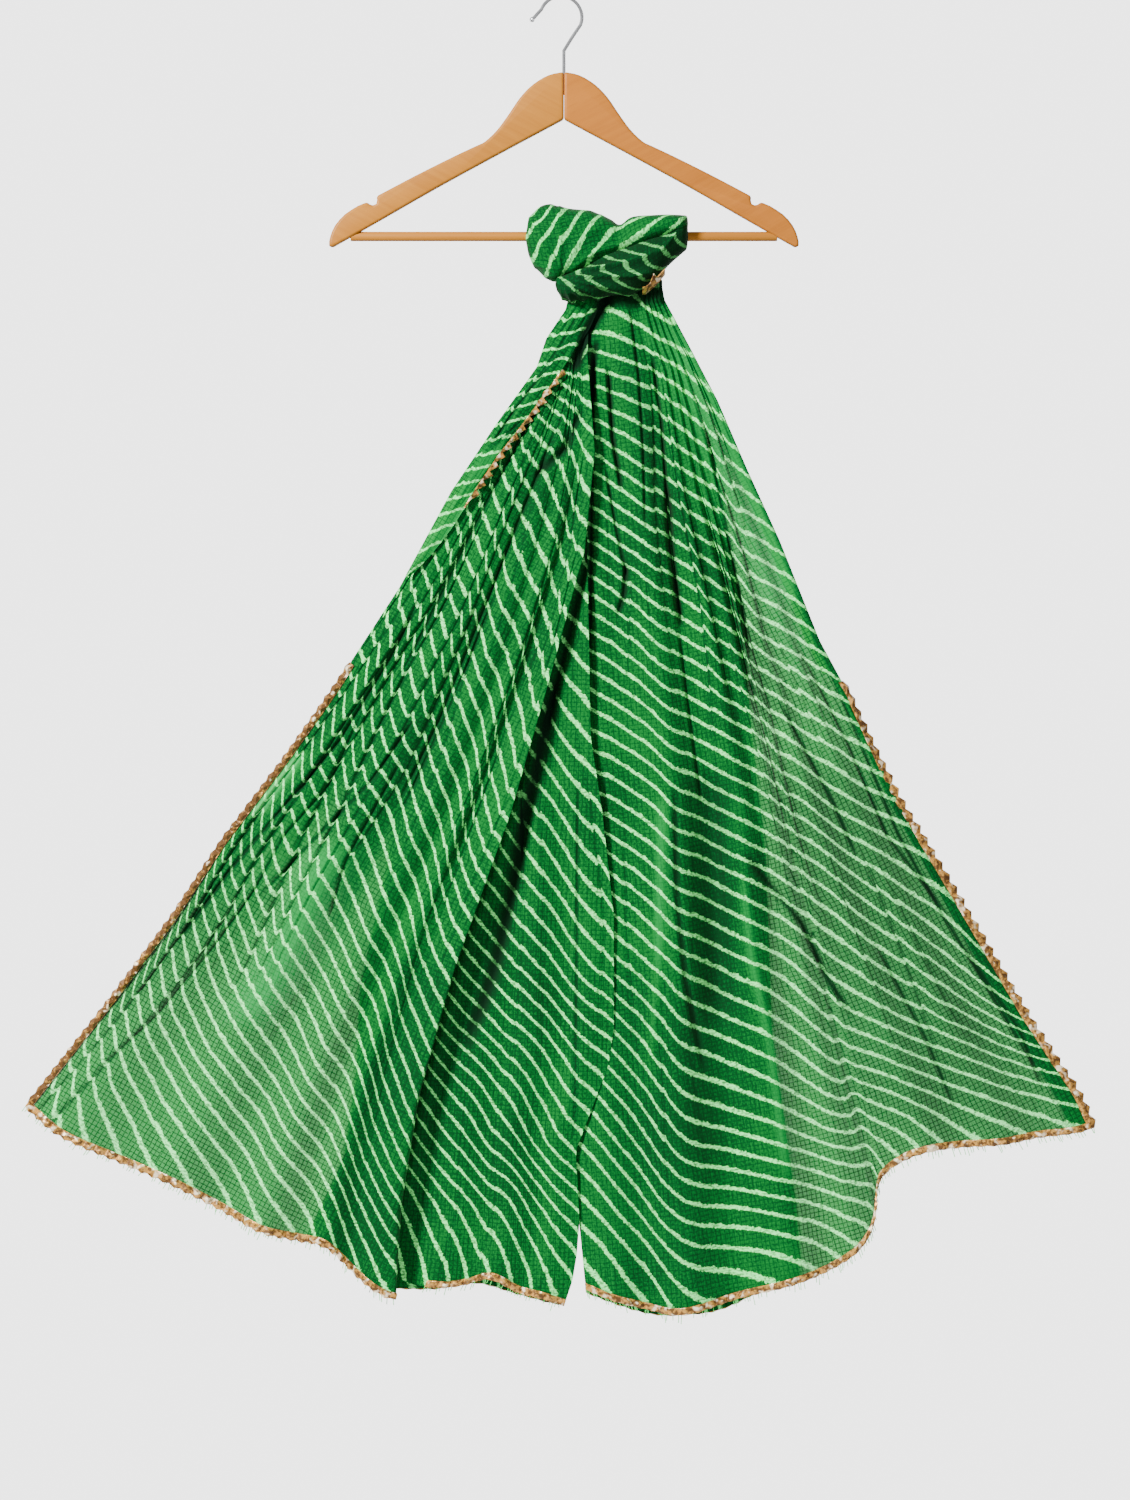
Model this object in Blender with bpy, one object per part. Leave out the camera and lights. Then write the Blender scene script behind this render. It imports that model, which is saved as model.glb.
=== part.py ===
"""A tie-dyed stole hitched over the bar of a wooden hanger.

Tables are in millimetres and the scene is in metres. X points right, Z points up and the front
faces -Y. The origin is the inside of the top of the hook, where a rail carries it.
"""

import math
from collections import namedtuple

import bmesh
import bpy
from mathutils import Vector

MM = 0.001

# Cloth and tape
CLOTH = 1.2
TAPE = 0.8
GAP = 0.3
TAPE_GAP = 0.6
TAPE_WIDTH = 6.0
TOOTH_PITCH = 14.0
TOOTH_REACH = 4.2
TAPE_REACH = 0.4
KNOT_TAPE_START = 77.0
KNOT_TAPE_END = 98.0
KNOT_TAPE_TOP = 222.0
KNOT_TAPE_TOOTH = 205.0
KNOT_TAPE_FOOT = 248.0

# Hanger
HANGER_X = 2.8
ARM_DEPTH = 13.0
ARM_ROUNDING = 2.5
BAR_RADIUS = 4.5
BAR_Z = -225.9
BAR_END = 202.0
WIRE_RADIUS = 1.65
HOOK_RADIUS = 19.9
HOOK_START_ANGLE = -22.0
HOOK_END_ANGLE = 158.0
HOOK_STEPS = 22
HOOK_TIP = (-27.2, -20.5)
HOOK_TIP_RADIUS = 2.5
SHANK_FOOT_Z = -92.0
SHANK_HEAD_Z = -50.0
SHANK_BEND = (10.4, -37.6)

# Falls
NECK_Z = -262.8
POCKET_FRONT = -13.5
POCKET_BACK = 6.0
KNOT_POWER = 2.5

Spot = namedtuple("Spot", "offset z")
Edge = namedtuple("Edge", "z x")
Ray = namedtuple("Ray", "name neck_x hem_x hem_z y_neck y_middle y_hem")
Ring = namedtuple("Ring", "x top bottom front back")

# Half of the hanger's outline, as offsets from its middle
ARM_TOP = tuple(Spot(*row) for row in (
    (0.15, -70.5),
    (14.5, -73.5),
    (29.5, -82.5),
    (41.5, -94.8),
    (51.5, -109.5),
    (63.0, -125.2),
    (74.5, -136.2),
    (83.0, -140.5),
    (104.0, -150.4),
    (141.0, -168.9),
    (177.5, -188.2),
))
ARM_NOTCH = tuple(Spot(*row) for row in (
    (176.8, -191.6),
    (177.6, -195.2),
    (181.0, -197.3),
    (184.2, -195.4),
    (186.4, -193.6),
))
ARM_TIP = tuple(Spot(*row) for row in (
    (195.0, -197.2),
    (207.3, -205.2),
    (216.6, -215.8),
    (221.2, -226.4),
    (222.2, -234.7),
    (218.2, -235.9),
))
ARM_UNDER = tuple(Spot(*row) for row in (
    (208.0, -230.2),
    (171.0, -209.2),
    (120.0, -180.0),
    (66.5, -150.8),
    (21.8, -126.8),
    (0.15, -115.2),
))

# The outlines of the falls, from the neck down
EDGES = {
    "left_edge": tuple(Edge(*row) for row in (
        (-262, 8),
        (-293, 6),
        (-323, -14),
        (-350, -23),
        (-405, -62),
        (-468, -104),
        (-557, -152),
        (-652, -214),
        (-724, -265),
        (-798, -321),
        (-872, -370),
        (-961, -437),
        (-1049, -506),
    )),
    "turned_edge": tuple(Edge(*row) for row in (
        (-262, 30),
        (-291, 37),
        (-314, 27),
        (-347, 5),
        (-384, -19),
        (-422, -49),
        (-462, -77),
        (-504, -104),
        (-526, -121),
        (-548, -142),
    )),
    "knife_fold": tuple(Edge(*row) for row in (
        (-262, 28),
        (-340, 25),
        (-430, 32),
        (-524, 22),
        (-644, -11),
        (-776, -49),
        (-918, -100),
        (-1042, -135),
        (-1146, -153),
        (-1230, -156),
    )),
    "under_fold": tuple(Edge(*row) for row in (
        (-262, 12),
        (-400, -20),
        (-557, -100),
        (-700, -150),
        (-826, -166),
        (-938, -190),
        (-1019, -194),
        (-1098, -205),
        (-1168, -238),
    )),
    "left_slit": tuple(Edge(*row) for row in (
        (-262, 24),
        (-530, 25),
        (-700, 28),
        (-771, 39),
        (-869, 50),
        (-975, 50),
        (-1010, 45),
        (-1047, 31),
        (-1091, 14),
        (-1158, 17.5),
        (-1190, 15),
        (-1214, 11),
        (-1238, 3),
    )),
    "left_back_edge": tuple(Edge(*row) for row in (
        (-262, 14),
        (-524, 0),
        (-776, -78),
        (-1042, -148),
        (-1222, -166),
    )),
    "left_back_slit": tuple(Edge(*row) for row in (
        (-262, 34),
        (-300, 33),
        (-335, 24),
        (-352, 17),
        (-560, 14),
        (-700, 13),
        (-800, 9),
        (-1060, 5),
        (-1238, -2),
    )),
    "right_slit": tuple(Edge(*row) for row in (
        (-262, 31),
        (-330, 28),
        (-362, 25.6),
        (-396, 21),
        (-560, 20),
        (-700, 19),
        (-800, 15),
        (-1060, 12),
        (-1140, 14.5),
        (-1158, 17),
        (-1214, 22.5),
        (-1222, 24),
    )),
    "right_edge": tuple(Edge(*row) for row in (
        (-262, 94),
        (-286, 98),
        (-329, 121),
        (-381, 148),
        (-446, 176),
        (-514, 207),
        (-609, 245),
        (-666, 276),
        (-759, 321),
        (-852, 376),
        (-963, 441),
        (-1040, 491),
        (-1069, 504),
    )),
    "right_valley": tuple(Edge(*row) for row in (
        (-262, 66),
        (-329, 80),
        (-355, 88),
        (-475, 99),
        (-591, 118),
        (-742, 139),
        (-850, 147),
        (-1231, 165),
    )),
    "right_back_edge": tuple(Edge(*row) for row in (
        (-262, 88),
        (-380, 126),
        (-466, 152),
        (-574, 169),
        (-728, 184),
        (-813, 194),
        (-984, 200),
        (-1138, 222),
        (-1197, 227),
    )),
}

# Each stretch of cloth, ray by ray from its left
LEFT_FRONT = tuple(Ray(*row) for row in (
    ("left_edge", 8, -506, -1049, -5.4, -7, -9),
    ("wave", 10, -472, -1076, -6.2, -15, -19),
    ("hollow", 12, -419, -1100, -5.4, -11, -11),
    ("wave", 14, -368, -1121, -6.4, -19, -24),
    ("hollow", 16, -321, -1146, -5.4, -12, -13),
    ("wave", 18, -283, -1166, -6.4, -20, -25),
    ("hollow", 20, -247, -1175, -5.4, -13, -14),
    ("wave", 22, -223, -1180, -6.4, -21, -26),
    ("hollow", 24, -200, -1201, -5.4, -15, -15),
    ("wave", 26, -176, -1221, -6.4, -22, -26),
    ("knife_fold", 28, -156, -1230, -5.8, -24, -26),
))
LEFT_RETURN = tuple(Ray(*row) for row in (
    ("under", 26, -165, -1222, -3.4, -9, -9),
    ("under", 20, -195, -1194, -3.2, -8, -8),
    ("under_fold", 13, -238, -1168, -3.2, -7, -8),
))
LEFT_INNER = tuple(Ray(*row) for row in (
    ("under_fold", 12, -238, -1168, -0.9, -3, -3),
    ("under", 15, -194, -1184, -0.9, -2, -2),
    ("hollow", 17, -150, -1214, -0.9, -2, -1),
    ("wave", 18, -119, -1220, -1.1, -3, -9),
    ("hollow", 20, -92, -1218, -0.9, -1, -3),
    ("wave", 21, -67, -1212, -1.1, -6, -11),
    ("hollow", 22, -41, -1225, -0.9, -3, -4),
    ("wave", 23, -20, -1230, -1.1, -9, -9),
    ("left_slit", 24, 3, -1238, -0.9, -12, -4),
))
LEFT_BACK = tuple(Ray(*row) for row in (
    ("left_back_edge", 14, -166, -1222, 2.6, 5, 6),
    ("hollow", 19, -119, -1223, 3.4, 9, 13),
    ("wave", 24, -80, -1217, 3.8, 5, 6),
    ("hollow", 29, -38, -1229, 4.2, 9, 13),
    ("left_back_slit", 34, -2, -1238, 4.4, 6, 5),
))
TURNED = tuple(Ray(*row) for row in (
    ("left_edge", 8, -147, -548, -8.0, -9.5, -14.5),
    ("wave", 19, -145, -548, -9.6, -16, -17.5),
    ("turned_edge", 30, -142, -548, -8.4, -13, -15.5),
))
RIGHT_FRONT = tuple(Ray(*row) for row in (
    ("right_slit", 31, 24, -1222, -3.9, 1, -5),
    ("wave", 36, 53, -1233, -5.7, -4, -15),
    ("hollow", 41, 84, -1241, -4.2, -4, -9),
    ("wave", 48, 106, -1245, -6.6, -12, -18),
    ("wave", 57, 125, -1243, -6.2, -16, -22),
    ("right_valley", 66, 165, -1231, -3.8, -3, -8),
    ("wave", 71, 216, -1217, -6.6, -19, -26),
    ("hollow", 74, 254, -1203, -4.4, -10, -13),
    ("wave", 76, 279, -1186, -6.4, -17, -23),
    ("hollow", 78, 294, -1163, -4.6, -11, -18),
    ("hollow", 80, 298, -1134, -4.6, -10, -12),
    ("wave", 82, 304, -1115, -6.2, -15, -12),
    ("hollow", 84, 323, -1100, -4.6, -9, -15),
    ("wave", 86, 347, -1091, -6.0, -16, -22),
    ("hollow", 88, 379, -1087, -4.6, -9, -13),
    ("wave", 90, 418, -1084, -5.8, -15, -21),
    ("hollow", 91.5, 451, -1078, -4.6, -8, -11),
    ("wave", 93, 484, -1074, -5.4, -10, -13),
    ("right_edge", 94.5, 504, -1069, -4.4, -6, -9),
))
RIGHT_BACK = tuple(Ray(*row) for row in (
    ("right_slit", 31, 27, -1226, 1.6, 6, 5),
    ("hollow", 41, 56, -1239, 2.6, 10, 13),
    ("wave", 51, 84, -1246, 1.6, 6, 6),
    ("hollow", 61, 113, -1248, 2.6, 10, 13),
    ("wave", 70, 151, -1242, 1.6, 6, 5),
    ("hollow", 79, 190, -1224, 2.4, 9, 10),
    ("right_back_edge", 88, 227, -1197, 1.6, 3, 3),
))
EDGE_FOLD = tuple(Ray(*row) for row in (
    ("right_edge", 94, 262, -640, -1.9, -0.5, -0.5),
    ("turned_under", 86, 248, -640, -1.9, 1.5, 0.5),
))

# The hitch, ring by ring from its left
KNOT_LOOP = tuple(Ring(*row) for row in (
    (-32.2, -217, -237, -12, 11),
    (-30.5, -209, -245, -20, 18),
    (-26.5, -203, -253, -26, 23),
    (-19.9, -197, -261, -31, 26),
    (-10.4, -195, -268, -34, 27),
    (-2.8, -198, -268.5, -34, 27),
    (4.7, -199, -264, -34, 27),
    (16.1, -199.5, -257, -33, 27),
    (27.5, -201, -251, -32, 26),
    (36.9, -206, -246, -30, 26),
    (47.3, -210, -241, -28, 25),
    (55.9, -214, -237, -26, 24),
    (67.2, -206.5, -232.6, -28, 25),
    (87.1, -205.3, -224.4, -30, 26),
    (105.0, -206, -220, -28, 24),
    (114.5, -207.2, -219, -23, 20),
    (119.3, -210.5, -217, -13, 12),
))
KNOT_WRAP = tuple(Ring(*row) for row in (
    (-3.0, -271.5, -277, -22, -12),
    (1.0, -269, -283, -30, 8),
    (7.6, -265, -289, -34, 22),
    (20.8, -256.6, -287, -36, 25),
    (44.5, -244.1, -284.6, -36, 26),
    (68.2, -233.6, -283.2, -36, 26),
    (80.0, -229.0, -281.5, -35, 26),
    (90.0, -225.0, -272.5, -33, 25),
    (98.5, -222.5, -262, -30, 23),
    (108.0, -220.6, -251, -26, 20),
    (115.5, -219.6, -242, -20, 16),
    (119.3, -219.4, -235.5, -13, 11),
))
KNOT_BACK = tuple(Ring(*row) for row in (
    (1.5, -266.0, -278, 8, 18),
    (8.0, -263.4, -287, POCKET_BACK, 24),
    (22.0, -263.2, -291, POCKET_BACK, 27),
    (48.0, -263.2, -290, POCKET_BACK, 28),
    (72.0, -263.2, -287, POCKET_BACK, 27),
    (86.0, -263.4, -283, POCKET_BACK, 24),
    (95.0, -265.5, -275, 8, 17),
))


def make_material(name, colour, roughness, metallic=0.0):
    """A plain Principled material."""
    material = bpy.data.materials.new(name)
    material.use_nodes = True
    shader = material.node_tree.nodes["Principled BSDF"]
    shader.inputs["Base Color"].default_value = (*colour, 1)
    shader.inputs["Roughness"].default_value = roughness
    shader.inputs["Metallic"].default_value = metallic
    return material


def add_object(name, form, material, smooth=True):
    """Turns a bmesh whose points are in millimetres into an object."""
    bmesh.ops.scale(form, vec=(MM, MM, MM), verts=form.verts)
    mesh = bpy.data.meshes.new(name)
    form.to_mesh(mesh)
    form.free()
    for face in mesh.polygons:
        face.use_smooth = smooth
    mesh.materials.append(material)
    shape = bpy.data.objects.new(name, mesh)
    bpy.context.scene.collection.objects.link(shape)
    return shape


def hide_cutter(cutter):
    """Keeps a cutting shape out of the render."""
    cutter.hide_render = True
    cutter.display_type = "WIRE"


def cut(shape, cutter):
    """Takes the cutter's form out of the shape."""
    boolean = shape.modifiers.new(f"Cut by {cutter.name}", "BOOLEAN")
    boolean.operation = "DIFFERENCE"
    boolean.solver = "EXACT"
    boolean.object = cutter


def read_edge(name, z):
    """The X of a named outline at a height."""
    rows = EDGES[name]
    for upper, lower in zip(rows, rows[1:]):
        if z >= lower.z:
            share = min((upper.z - z) / (upper.z - lower.z), 1)
            return upper.x + (lower.x - upper.x) * max(share, 0)
    return rows[-1].x


def blend(points, position):
    """A value at a whole or part position along a row of values, on a smooth curve."""
    last = len(points) - 1
    index = min(int(position), last - 1)
    t = position - index
    a = points[max(index - 1, 0)]
    b = points[index]
    c = points[index + 1]
    d = points[min(index + 2, last)]
    return 0.5 * (2 * b + (c - a) * t + (2 * a - 5 * b + 4 * c - d) * t**2 + (3 * b - a - 3 * c + d) * t**3)


def straight_x(ray, drop):
    """The X of a ray's straight line from its neck to its hem."""
    start, end = ray.neck_x, ray.hem_x
    if ray.name in EDGES:
        start, end = read_edge(ray.name, NECK_Z), read_edge(ray.name, ray.hem_z)
    return start + (end - start) * drop


def ray_z(ray, drop):
    """The height of a ray, with drop 0 at the neck and 1 at the hem."""
    return NECK_Z + (ray.hem_z - NECK_Z) * drop


def ray_y(ray, drop):
    """The depth of a ray, on a parabola through its neck, middle and hem."""
    return (
        ray.y_neck * (1 - drop) * (1 - 2 * drop)
        + ray.y_middle * 4 * drop * (1 - drop)
        + ray.y_hem * drop * (2 * drop - 1)
    )


def bend(ray, drop):
    """How far a named outline lies from its straight line."""
    return read_edge(ray.name, ray_z(ray, drop)) - straight_x(ray, drop)


def ray_points(rays, drop):
    """One point on each ray: those between two outlines take a share of each one's bend."""
    guides = [index for index, ray in enumerate(rays) if ray.name in EDGES]
    points = []
    for index, ray in enumerate(rays):
        before = max([guide for guide in guides if guide <= index])
        after = min([guide for guide in guides if guide >= index], default=before)
        share = (index - before) / (after - before) if after > before else 0
        offset = bend(rays[before], drop) * (1 - share) + bend(rays[after], drop) * share
        points.append(Vector((straight_x(ray, drop) + offset, ray_y(ray, drop), ray_z(ray, drop))))
    return points


def panel_grid(rays, splits, rows):
    """Rows of points down a fall, each row running across its rays."""
    grid = []
    for row in range(rows + 1):
        spots = ray_points(rays, (row / rows) ** 1.15)
        count = (len(rays) - 1) * splits
        grid.append([blend(spots, column / splits) for column in range(count + 1)])
    return grid


def grid_mesh(grid):
    """An open sheet through a grid of points."""
    form = bmesh.new()
    lines = [[form.verts.new(point) for point in row] for row in grid]
    for upper, lower in zip(lines, lines[1:]):
        for column in range(len(upper) - 1):
            form.faces.new((upper[column], lower[column], lower[column + 1], upper[column + 1]))
    return form


def add_wall(name, grid, thickness, material):
    """A closed wall of even thickness, half on each side of a grid."""
    shape = add_object(name, grid_mesh(grid), material)
    solidify = shape.modifiers.new("Thickness", "SOLIDIFY")
    solidify.thickness = thickness * MM
    solidify.offset = 0
    return shape


def grid_normal(grid, row, column):
    """The direction that the grid's front faces at one of its points."""
    down = grid[min(row + 1, len(grid) - 1)][column] - grid[max(row - 1, 0)][column]
    across = grid[row][min(column + 1, len(grid[row]) - 1)] - grid[row][max(column - 1, 0)]
    normal = down.cross(across).normalized()
    return normal if normal.y < 0 else -normal


def edge_line(grid, side):
    """Points of one side of a grid, each with the next point inwards and the front's direction."""
    last_row = len(grid) - 1
    last_column = len(grid[0]) - 1
    if side == "hem":
        cells = [((last_row, column), (last_row - 1, column)) for column in range(last_column + 1)]
    elif side == "left":
        cells = [((row, 0), (row, 1)) for row in range(last_row + 1)]
    else:
        cells = [((row, last_column), (row, last_column - 1)) for row in range(last_row + 1)]
    line = []
    for (row, column), (inner_row, inner_column) in cells:
        point = grid[row][column]
        inward = (grid[inner_row][inner_column] - point).normalized()
        line.append((point, inward, grid_normal(grid, row, column)))
    return line


def even_line(line, pitch):
    """The line read again at an even pitch, on the straight stretches between its points."""
    lengths = [0.0]
    for (start, _, _), (end, _, _) in zip(line, line[1:]):
        lengths.append(lengths[-1] + (end - start).length)
    count = max(round(lengths[-1] / pitch), 2)
    found = []
    index = 0
    for step in range(count + 1):
        along = lengths[-1] * step / count
        while index < len(line) - 2 and lengths[index + 1] < along:
            index += 1
        share = (along - lengths[index]) / (lengths[index + 1] - lengths[index])
        found.append([first.lerp(second, share) for first, second in zip(line[index], line[index + 1])])
    return found


def add_tape(name, line, material):
    """Gold tape on the edge of a fall, with a row of pointed teeth past it."""
    lift = CLOTH / 2 + TAPE_GAP + TAPE / 2
    rows = [[], []]
    for step, (point, inward, normal) in enumerate(even_line(line, TOOTH_PITCH / 4)):
        rise = 1 - abs(step % 4 - 2) / 2
        reach = TAPE_REACH + (TOOTH_REACH - TAPE_REACH) * rise
        rows[0].append(point + normal * lift + inward * TAPE_WIDTH)
        rows[1].append(point + normal * lift - inward * reach)
    return add_wall(name, rows, TAPE, material)


def ring_point(ring, angle, lift=0.0):
    """A point around a ring of the hitch, from its back over its top, lifted off its surface."""
    across = math.copysign(abs(math.cos(angle)) ** (2 / KNOT_POWER), math.cos(angle))
    up = math.copysign(abs(math.sin(angle)) ** (2 / KNOT_POWER), math.sin(angle))
    y = (ring.front + ring.back) / 2 + across * ((ring.back - ring.front) / 2 + lift)
    z = (ring.top + ring.bottom) / 2 + up * ((ring.top - ring.bottom) / 2 + lift)
    return Vector((ring.x, y, z))


def ring_at(rings, x):
    """The ring between two of a row of rings."""
    for first, second in zip(rings, rings[1:]):
        if x <= second.x:
            share = (x - first.x) / (second.x - first.x)
            return Ring(*[a + (b - a) * share for a, b in zip(first, second)])
    return rings[-1]


def add_back_tape(name, line, material):
    """Gold tape on the right side of a back layer, which faces the rear."""
    lift = CLOTH / 2 + TAPE_GAP + TAPE / 2
    rows = [[], []]
    for point, inward, normal in line:
        rows[0].append(point - normal * lift + inward * TAPE_WIDTH)
        rows[1].append(point - normal * lift - inward * TAPE_REACH)
    return add_wall(name, rows, TAPE, material)


def add_knot_tape(name, material):
    """The bit of gold tape that shows at the wrap's lower right edge, with one tooth."""
    lift = 2 * TAPE_GAP + TAPE
    rows = [[], [], []]
    steps = 6
    for step in range(steps + 1):
        ring = ring_at(KNOT_WRAP, KNOT_TAPE_START + (KNOT_TAPE_END - KNOT_TAPE_START) * step / steps)
        turn = KNOT_TAPE_TOOTH if step == steps // 2 else KNOT_TAPE_TOP
        rows[0].append(ring_point(ring, math.radians(turn), lift))
        rows[1].append(ring_point(ring, math.radians((KNOT_TAPE_TOP + KNOT_TAPE_FOOT) / 2), lift))
        rows[2].append(ring_point(ring, math.radians(KNOT_TAPE_FOOT), lift))
    return add_wall(name, rows, TAPE, material)


def add_lobe(name, rings, steps, material):
    """A closed, rounded roll of cloth through rings across it, with soft ends."""
    form = bmesh.new()
    turns = [2 * math.pi * step / steps for step in range(steps)]
    loops = [[form.verts.new(ring_point(ring, turn)) for turn in turns] for ring in rings]
    for first, second in zip(loops, loops[1:]):
        for step in range(steps):
            after = (step + 1) % steps
            form.faces.new((first[step], second[step], second[after], first[after]))
    form.faces.new(loops[0])
    form.faces.new(reversed(loops[-1]))
    bmesh.ops.recalc_face_normals(form, faces=form.faces)
    return add_object(name, form, material)


def add_rod(name, start_x, end_x, radius, material, sides=24):
    """A round rod along X through the bar's place."""
    form = bmesh.new()
    bmesh.ops.create_cone(
        form, cap_ends=True, segments=sides, radius1=radius, radius2=radius, depth=end_x - start_x
    )
    for point in form.verts:
        x, y, z = point.co
        point.co = (z + (start_x + end_x) / 2, y, BAR_Z - x)
    return add_object(name, form, material)


def add_block(name, low, high, material):
    """A box between two corners."""
    form = bmesh.new()
    bmesh.ops.create_cube(form, size=1)
    for point in form.verts:
        point.co = [
            middle / 2 + part * size
            for middle, part, size in zip(
                [a + b for a, b in zip(low, high)], point.co, [b - a for a, b in zip(low, high)]
            )
        ]
    return add_object(name, form, material, smooth=False)


def add_arm(name, side, material):
    """One half of the wooden hanger, on its side of the middle seam."""
    spots = ARM_TOP + ARM_NOTCH + ARM_TIP + ARM_UNDER
    form = bmesh.new()
    points = [form.verts.new((HANGER_X + side * spot.offset, -ARM_DEPTH / 2, spot.z)) for spot in spots]
    face = form.faces.new(points)
    pushed = bmesh.ops.extrude_face_region(form, geom=[face])
    moved = [item for item in pushed["geom"] if isinstance(item, bmesh.types.BMVert)]
    bmesh.ops.translate(form, vec=(0, ARM_DEPTH, 0), verts=moved)
    bmesh.ops.recalc_face_normals(form, faces=form.faces)
    arm = add_object(name, form, material)
    rounding = arm.modifiers.new("Rounding", "BEVEL")
    rounding.width = ARM_ROUNDING * MM
    rounding.segments = 2
    rounding.limit_method = "ANGLE"
    rounding.angle_limit = math.radians(60)
    return arm


def hook_route():
    """The middle line of the hook's wire, from its foot in the wood to its tip."""
    middle_z = WIRE_RADIUS - HOOK_RADIUS
    route = [(HANGER_X, SHANK_FOOT_Z), (HANGER_X, SHANK_HEAD_Z), SHANK_BEND]
    for step in range(HOOK_STEPS + 1):
        share = step / HOOK_STEPS
        angle = math.radians(HOOK_START_ANGLE + (HOOK_END_ANGLE - HOOK_START_ANGLE) * share)
        route.append((HOOK_RADIUS * math.cos(angle), middle_z + HOOK_RADIUS * math.sin(angle)))
    route.append(HOOK_TIP)
    return route


def add_hook(name, material):
    """The wire hook, with a small ball at its tip."""
    curve = bpy.data.curves.new(name, "CURVE")
    curve.dimensions = "3D"
    curve.bevel_depth = WIRE_RADIUS * MM
    curve.bevel_resolution = 3
    curve.use_fill_caps = True
    route = hook_route()
    line = curve.splines.new("POLY")
    line.points.add(len(route) - 1)
    for point, (x, z) in zip(line.points, route):
        point.co = (x * MM, 0, z * MM, 1)
    wire = bpy.data.objects.new("hook_wire", curve)
    bpy.context.scene.collection.objects.link(wire)
    graph = bpy.context.evaluated_depsgraph_get()
    mesh = bpy.data.meshes.new_from_object(wire.evaluated_get(graph))
    bpy.data.objects.remove(wire)
    form = bmesh.new()
    form.from_mesh(mesh)
    bmesh.ops.remove_doubles(form, verts=form.verts, dist=0.00001)
    form.to_mesh(mesh)
    form.free()
    for face in mesh.polygons:
        face.use_smooth = True
    mesh.materials.clear()
    mesh.materials.append(material)
    hook = bpy.data.objects.new(name, mesh)
    bpy.context.scene.collection.objects.link(hook)
    ball = bmesh.new()
    bmesh.ops.create_uvsphere(ball, u_segments=12, v_segments=8, radius=HOOK_TIP_RADIUS)
    bmesh.ops.translate(ball, vec=(HOOK_TIP[0], 0, HOOK_TIP[1]), verts=ball.verts)
    tip = add_object("hook_tip", ball, material)
    hide_cutter(tip)
    join = hook.modifiers.new("Tip", "BOOLEAN")
    join.operation = "UNION"
    join.solver = "EXACT"
    join.object = tip
    return hook


def add_hanger(wood_left, wood_right, wood_bar, steel):
    """The two arms, the bar let into them and the hook that stands in their seam."""
    arms = [add_arm("hanger_arm_left", -1, wood_left), add_arm("hanger_arm_right", 1, wood_right)]
    add_rod("hanger_bar", HANGER_X - BAR_END, HANGER_X + BAR_END, BAR_RADIUS, wood_bar)
    add_hook("hanger_hook", steel)
    clear = BAR_END + GAP
    bore = add_rod("bar_bore", HANGER_X - clear, HANGER_X + clear, BAR_RADIUS + GAP, wood_bar, sides=28)
    hole = bmesh.new()
    depth = 2 * (SHANK_HEAD_Z - SHANK_FOOT_Z)
    bmesh.ops.create_cone(
        hole,
        cap_ends=True,
        segments=20,
        radius1=WIRE_RADIUS + 2 * GAP,
        radius2=WIRE_RADIUS + 2 * GAP,
        depth=depth,
    )
    bmesh.ops.translate(hole, vec=(HANGER_X, 0, SHANK_FOOT_Z - GAP + depth / 2), verts=hole.verts)
    socket = add_object("shank_hole", hole, steel)
    for cutter in (bore, socket):
        hide_cutter(cutter)
    for arm in arms:
        cut(arm, bore)
        cut(arm, socket)


def add_knot(green, gold):
    """The hitch: its loop over the bar, the wrap across the front and the band behind."""
    loop = add_lobe("knot_loop", KNOT_LOOP, 22, green)
    wrap = add_lobe("knot_wrap", KNOT_WRAP, 22, green)
    add_lobe("knot_back", KNOT_BACK, 18, green)
    add_knot_tape("tape_knot", gold)
    passage = add_rod("knot_passage", -60, 150, BAR_RADIUS + GAP, green, sides=24)
    pocket = add_block(
        "knot_pocket", (-40, POCKET_FRONT, -320), (140, 60, NECK_Z + GAP), green
    )
    for cutter in (passage, pocket):
        hide_cutter(cutter)
    cut(loop, passage)
    cut(wrap, passage)
    cut(wrap, pocket)


def add_falls(green, gold):
    """Every stretch of cloth below the hitch, with the tape along its edges."""
    left = panel_grid(LEFT_FRONT + LEFT_RETURN, 3, 14)
    knife_fold = 3 * (len(LEFT_FRONT) - 1)
    inner = panel_grid(LEFT_INNER, 3, 13)
    left_back = panel_grid(LEFT_BACK, 3, 10)
    right = panel_grid(RIGHT_FRONT, 3, 14)
    right_back = panel_grid(RIGHT_BACK, 3, 10)
    turned = panel_grid(TURNED, 3, 12)
    edge_fold = panel_grid(EDGE_FOLD, 2, 8)
    add_wall("fall_left_front", left, CLOTH, green)
    add_wall("fall_left_inner", inner, CLOTH, green)
    add_wall("fall_left_back", left_back, CLOTH, green)
    add_wall("fall_left_turned", turned, CLOTH, green)
    add_wall("fall_right_front", right, CLOTH, green)
    add_wall("fall_right_back", right_back, CLOTH, green)
    add_wall("fall_right_edge_fold", edge_fold, CLOTH, green)
    add_tape("tape_hem_left", edge_line(left, "hem")[: knife_fold + 1], gold)
    add_tape("tape_hem_inner", edge_line(inner, "hem")[8:], gold)
    add_tape("tape_hem_right", edge_line(right, "hem"), gold)
    add_tape("tape_edge_left", edge_line(left, "left")[7:-1], gold)
    add_tape("tape_edge_right", edge_line(right, "right")[8:-1], gold)
    add_back_tape("tape_hem_back_left", edge_line(left_back, "hem"), gold)
    add_back_tape("tape_hem_back_right", edge_line(right_back, "hem"), gold)
    add_tape("tape_turned", edge_line(turned, "right")[4:], gold)


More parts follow.
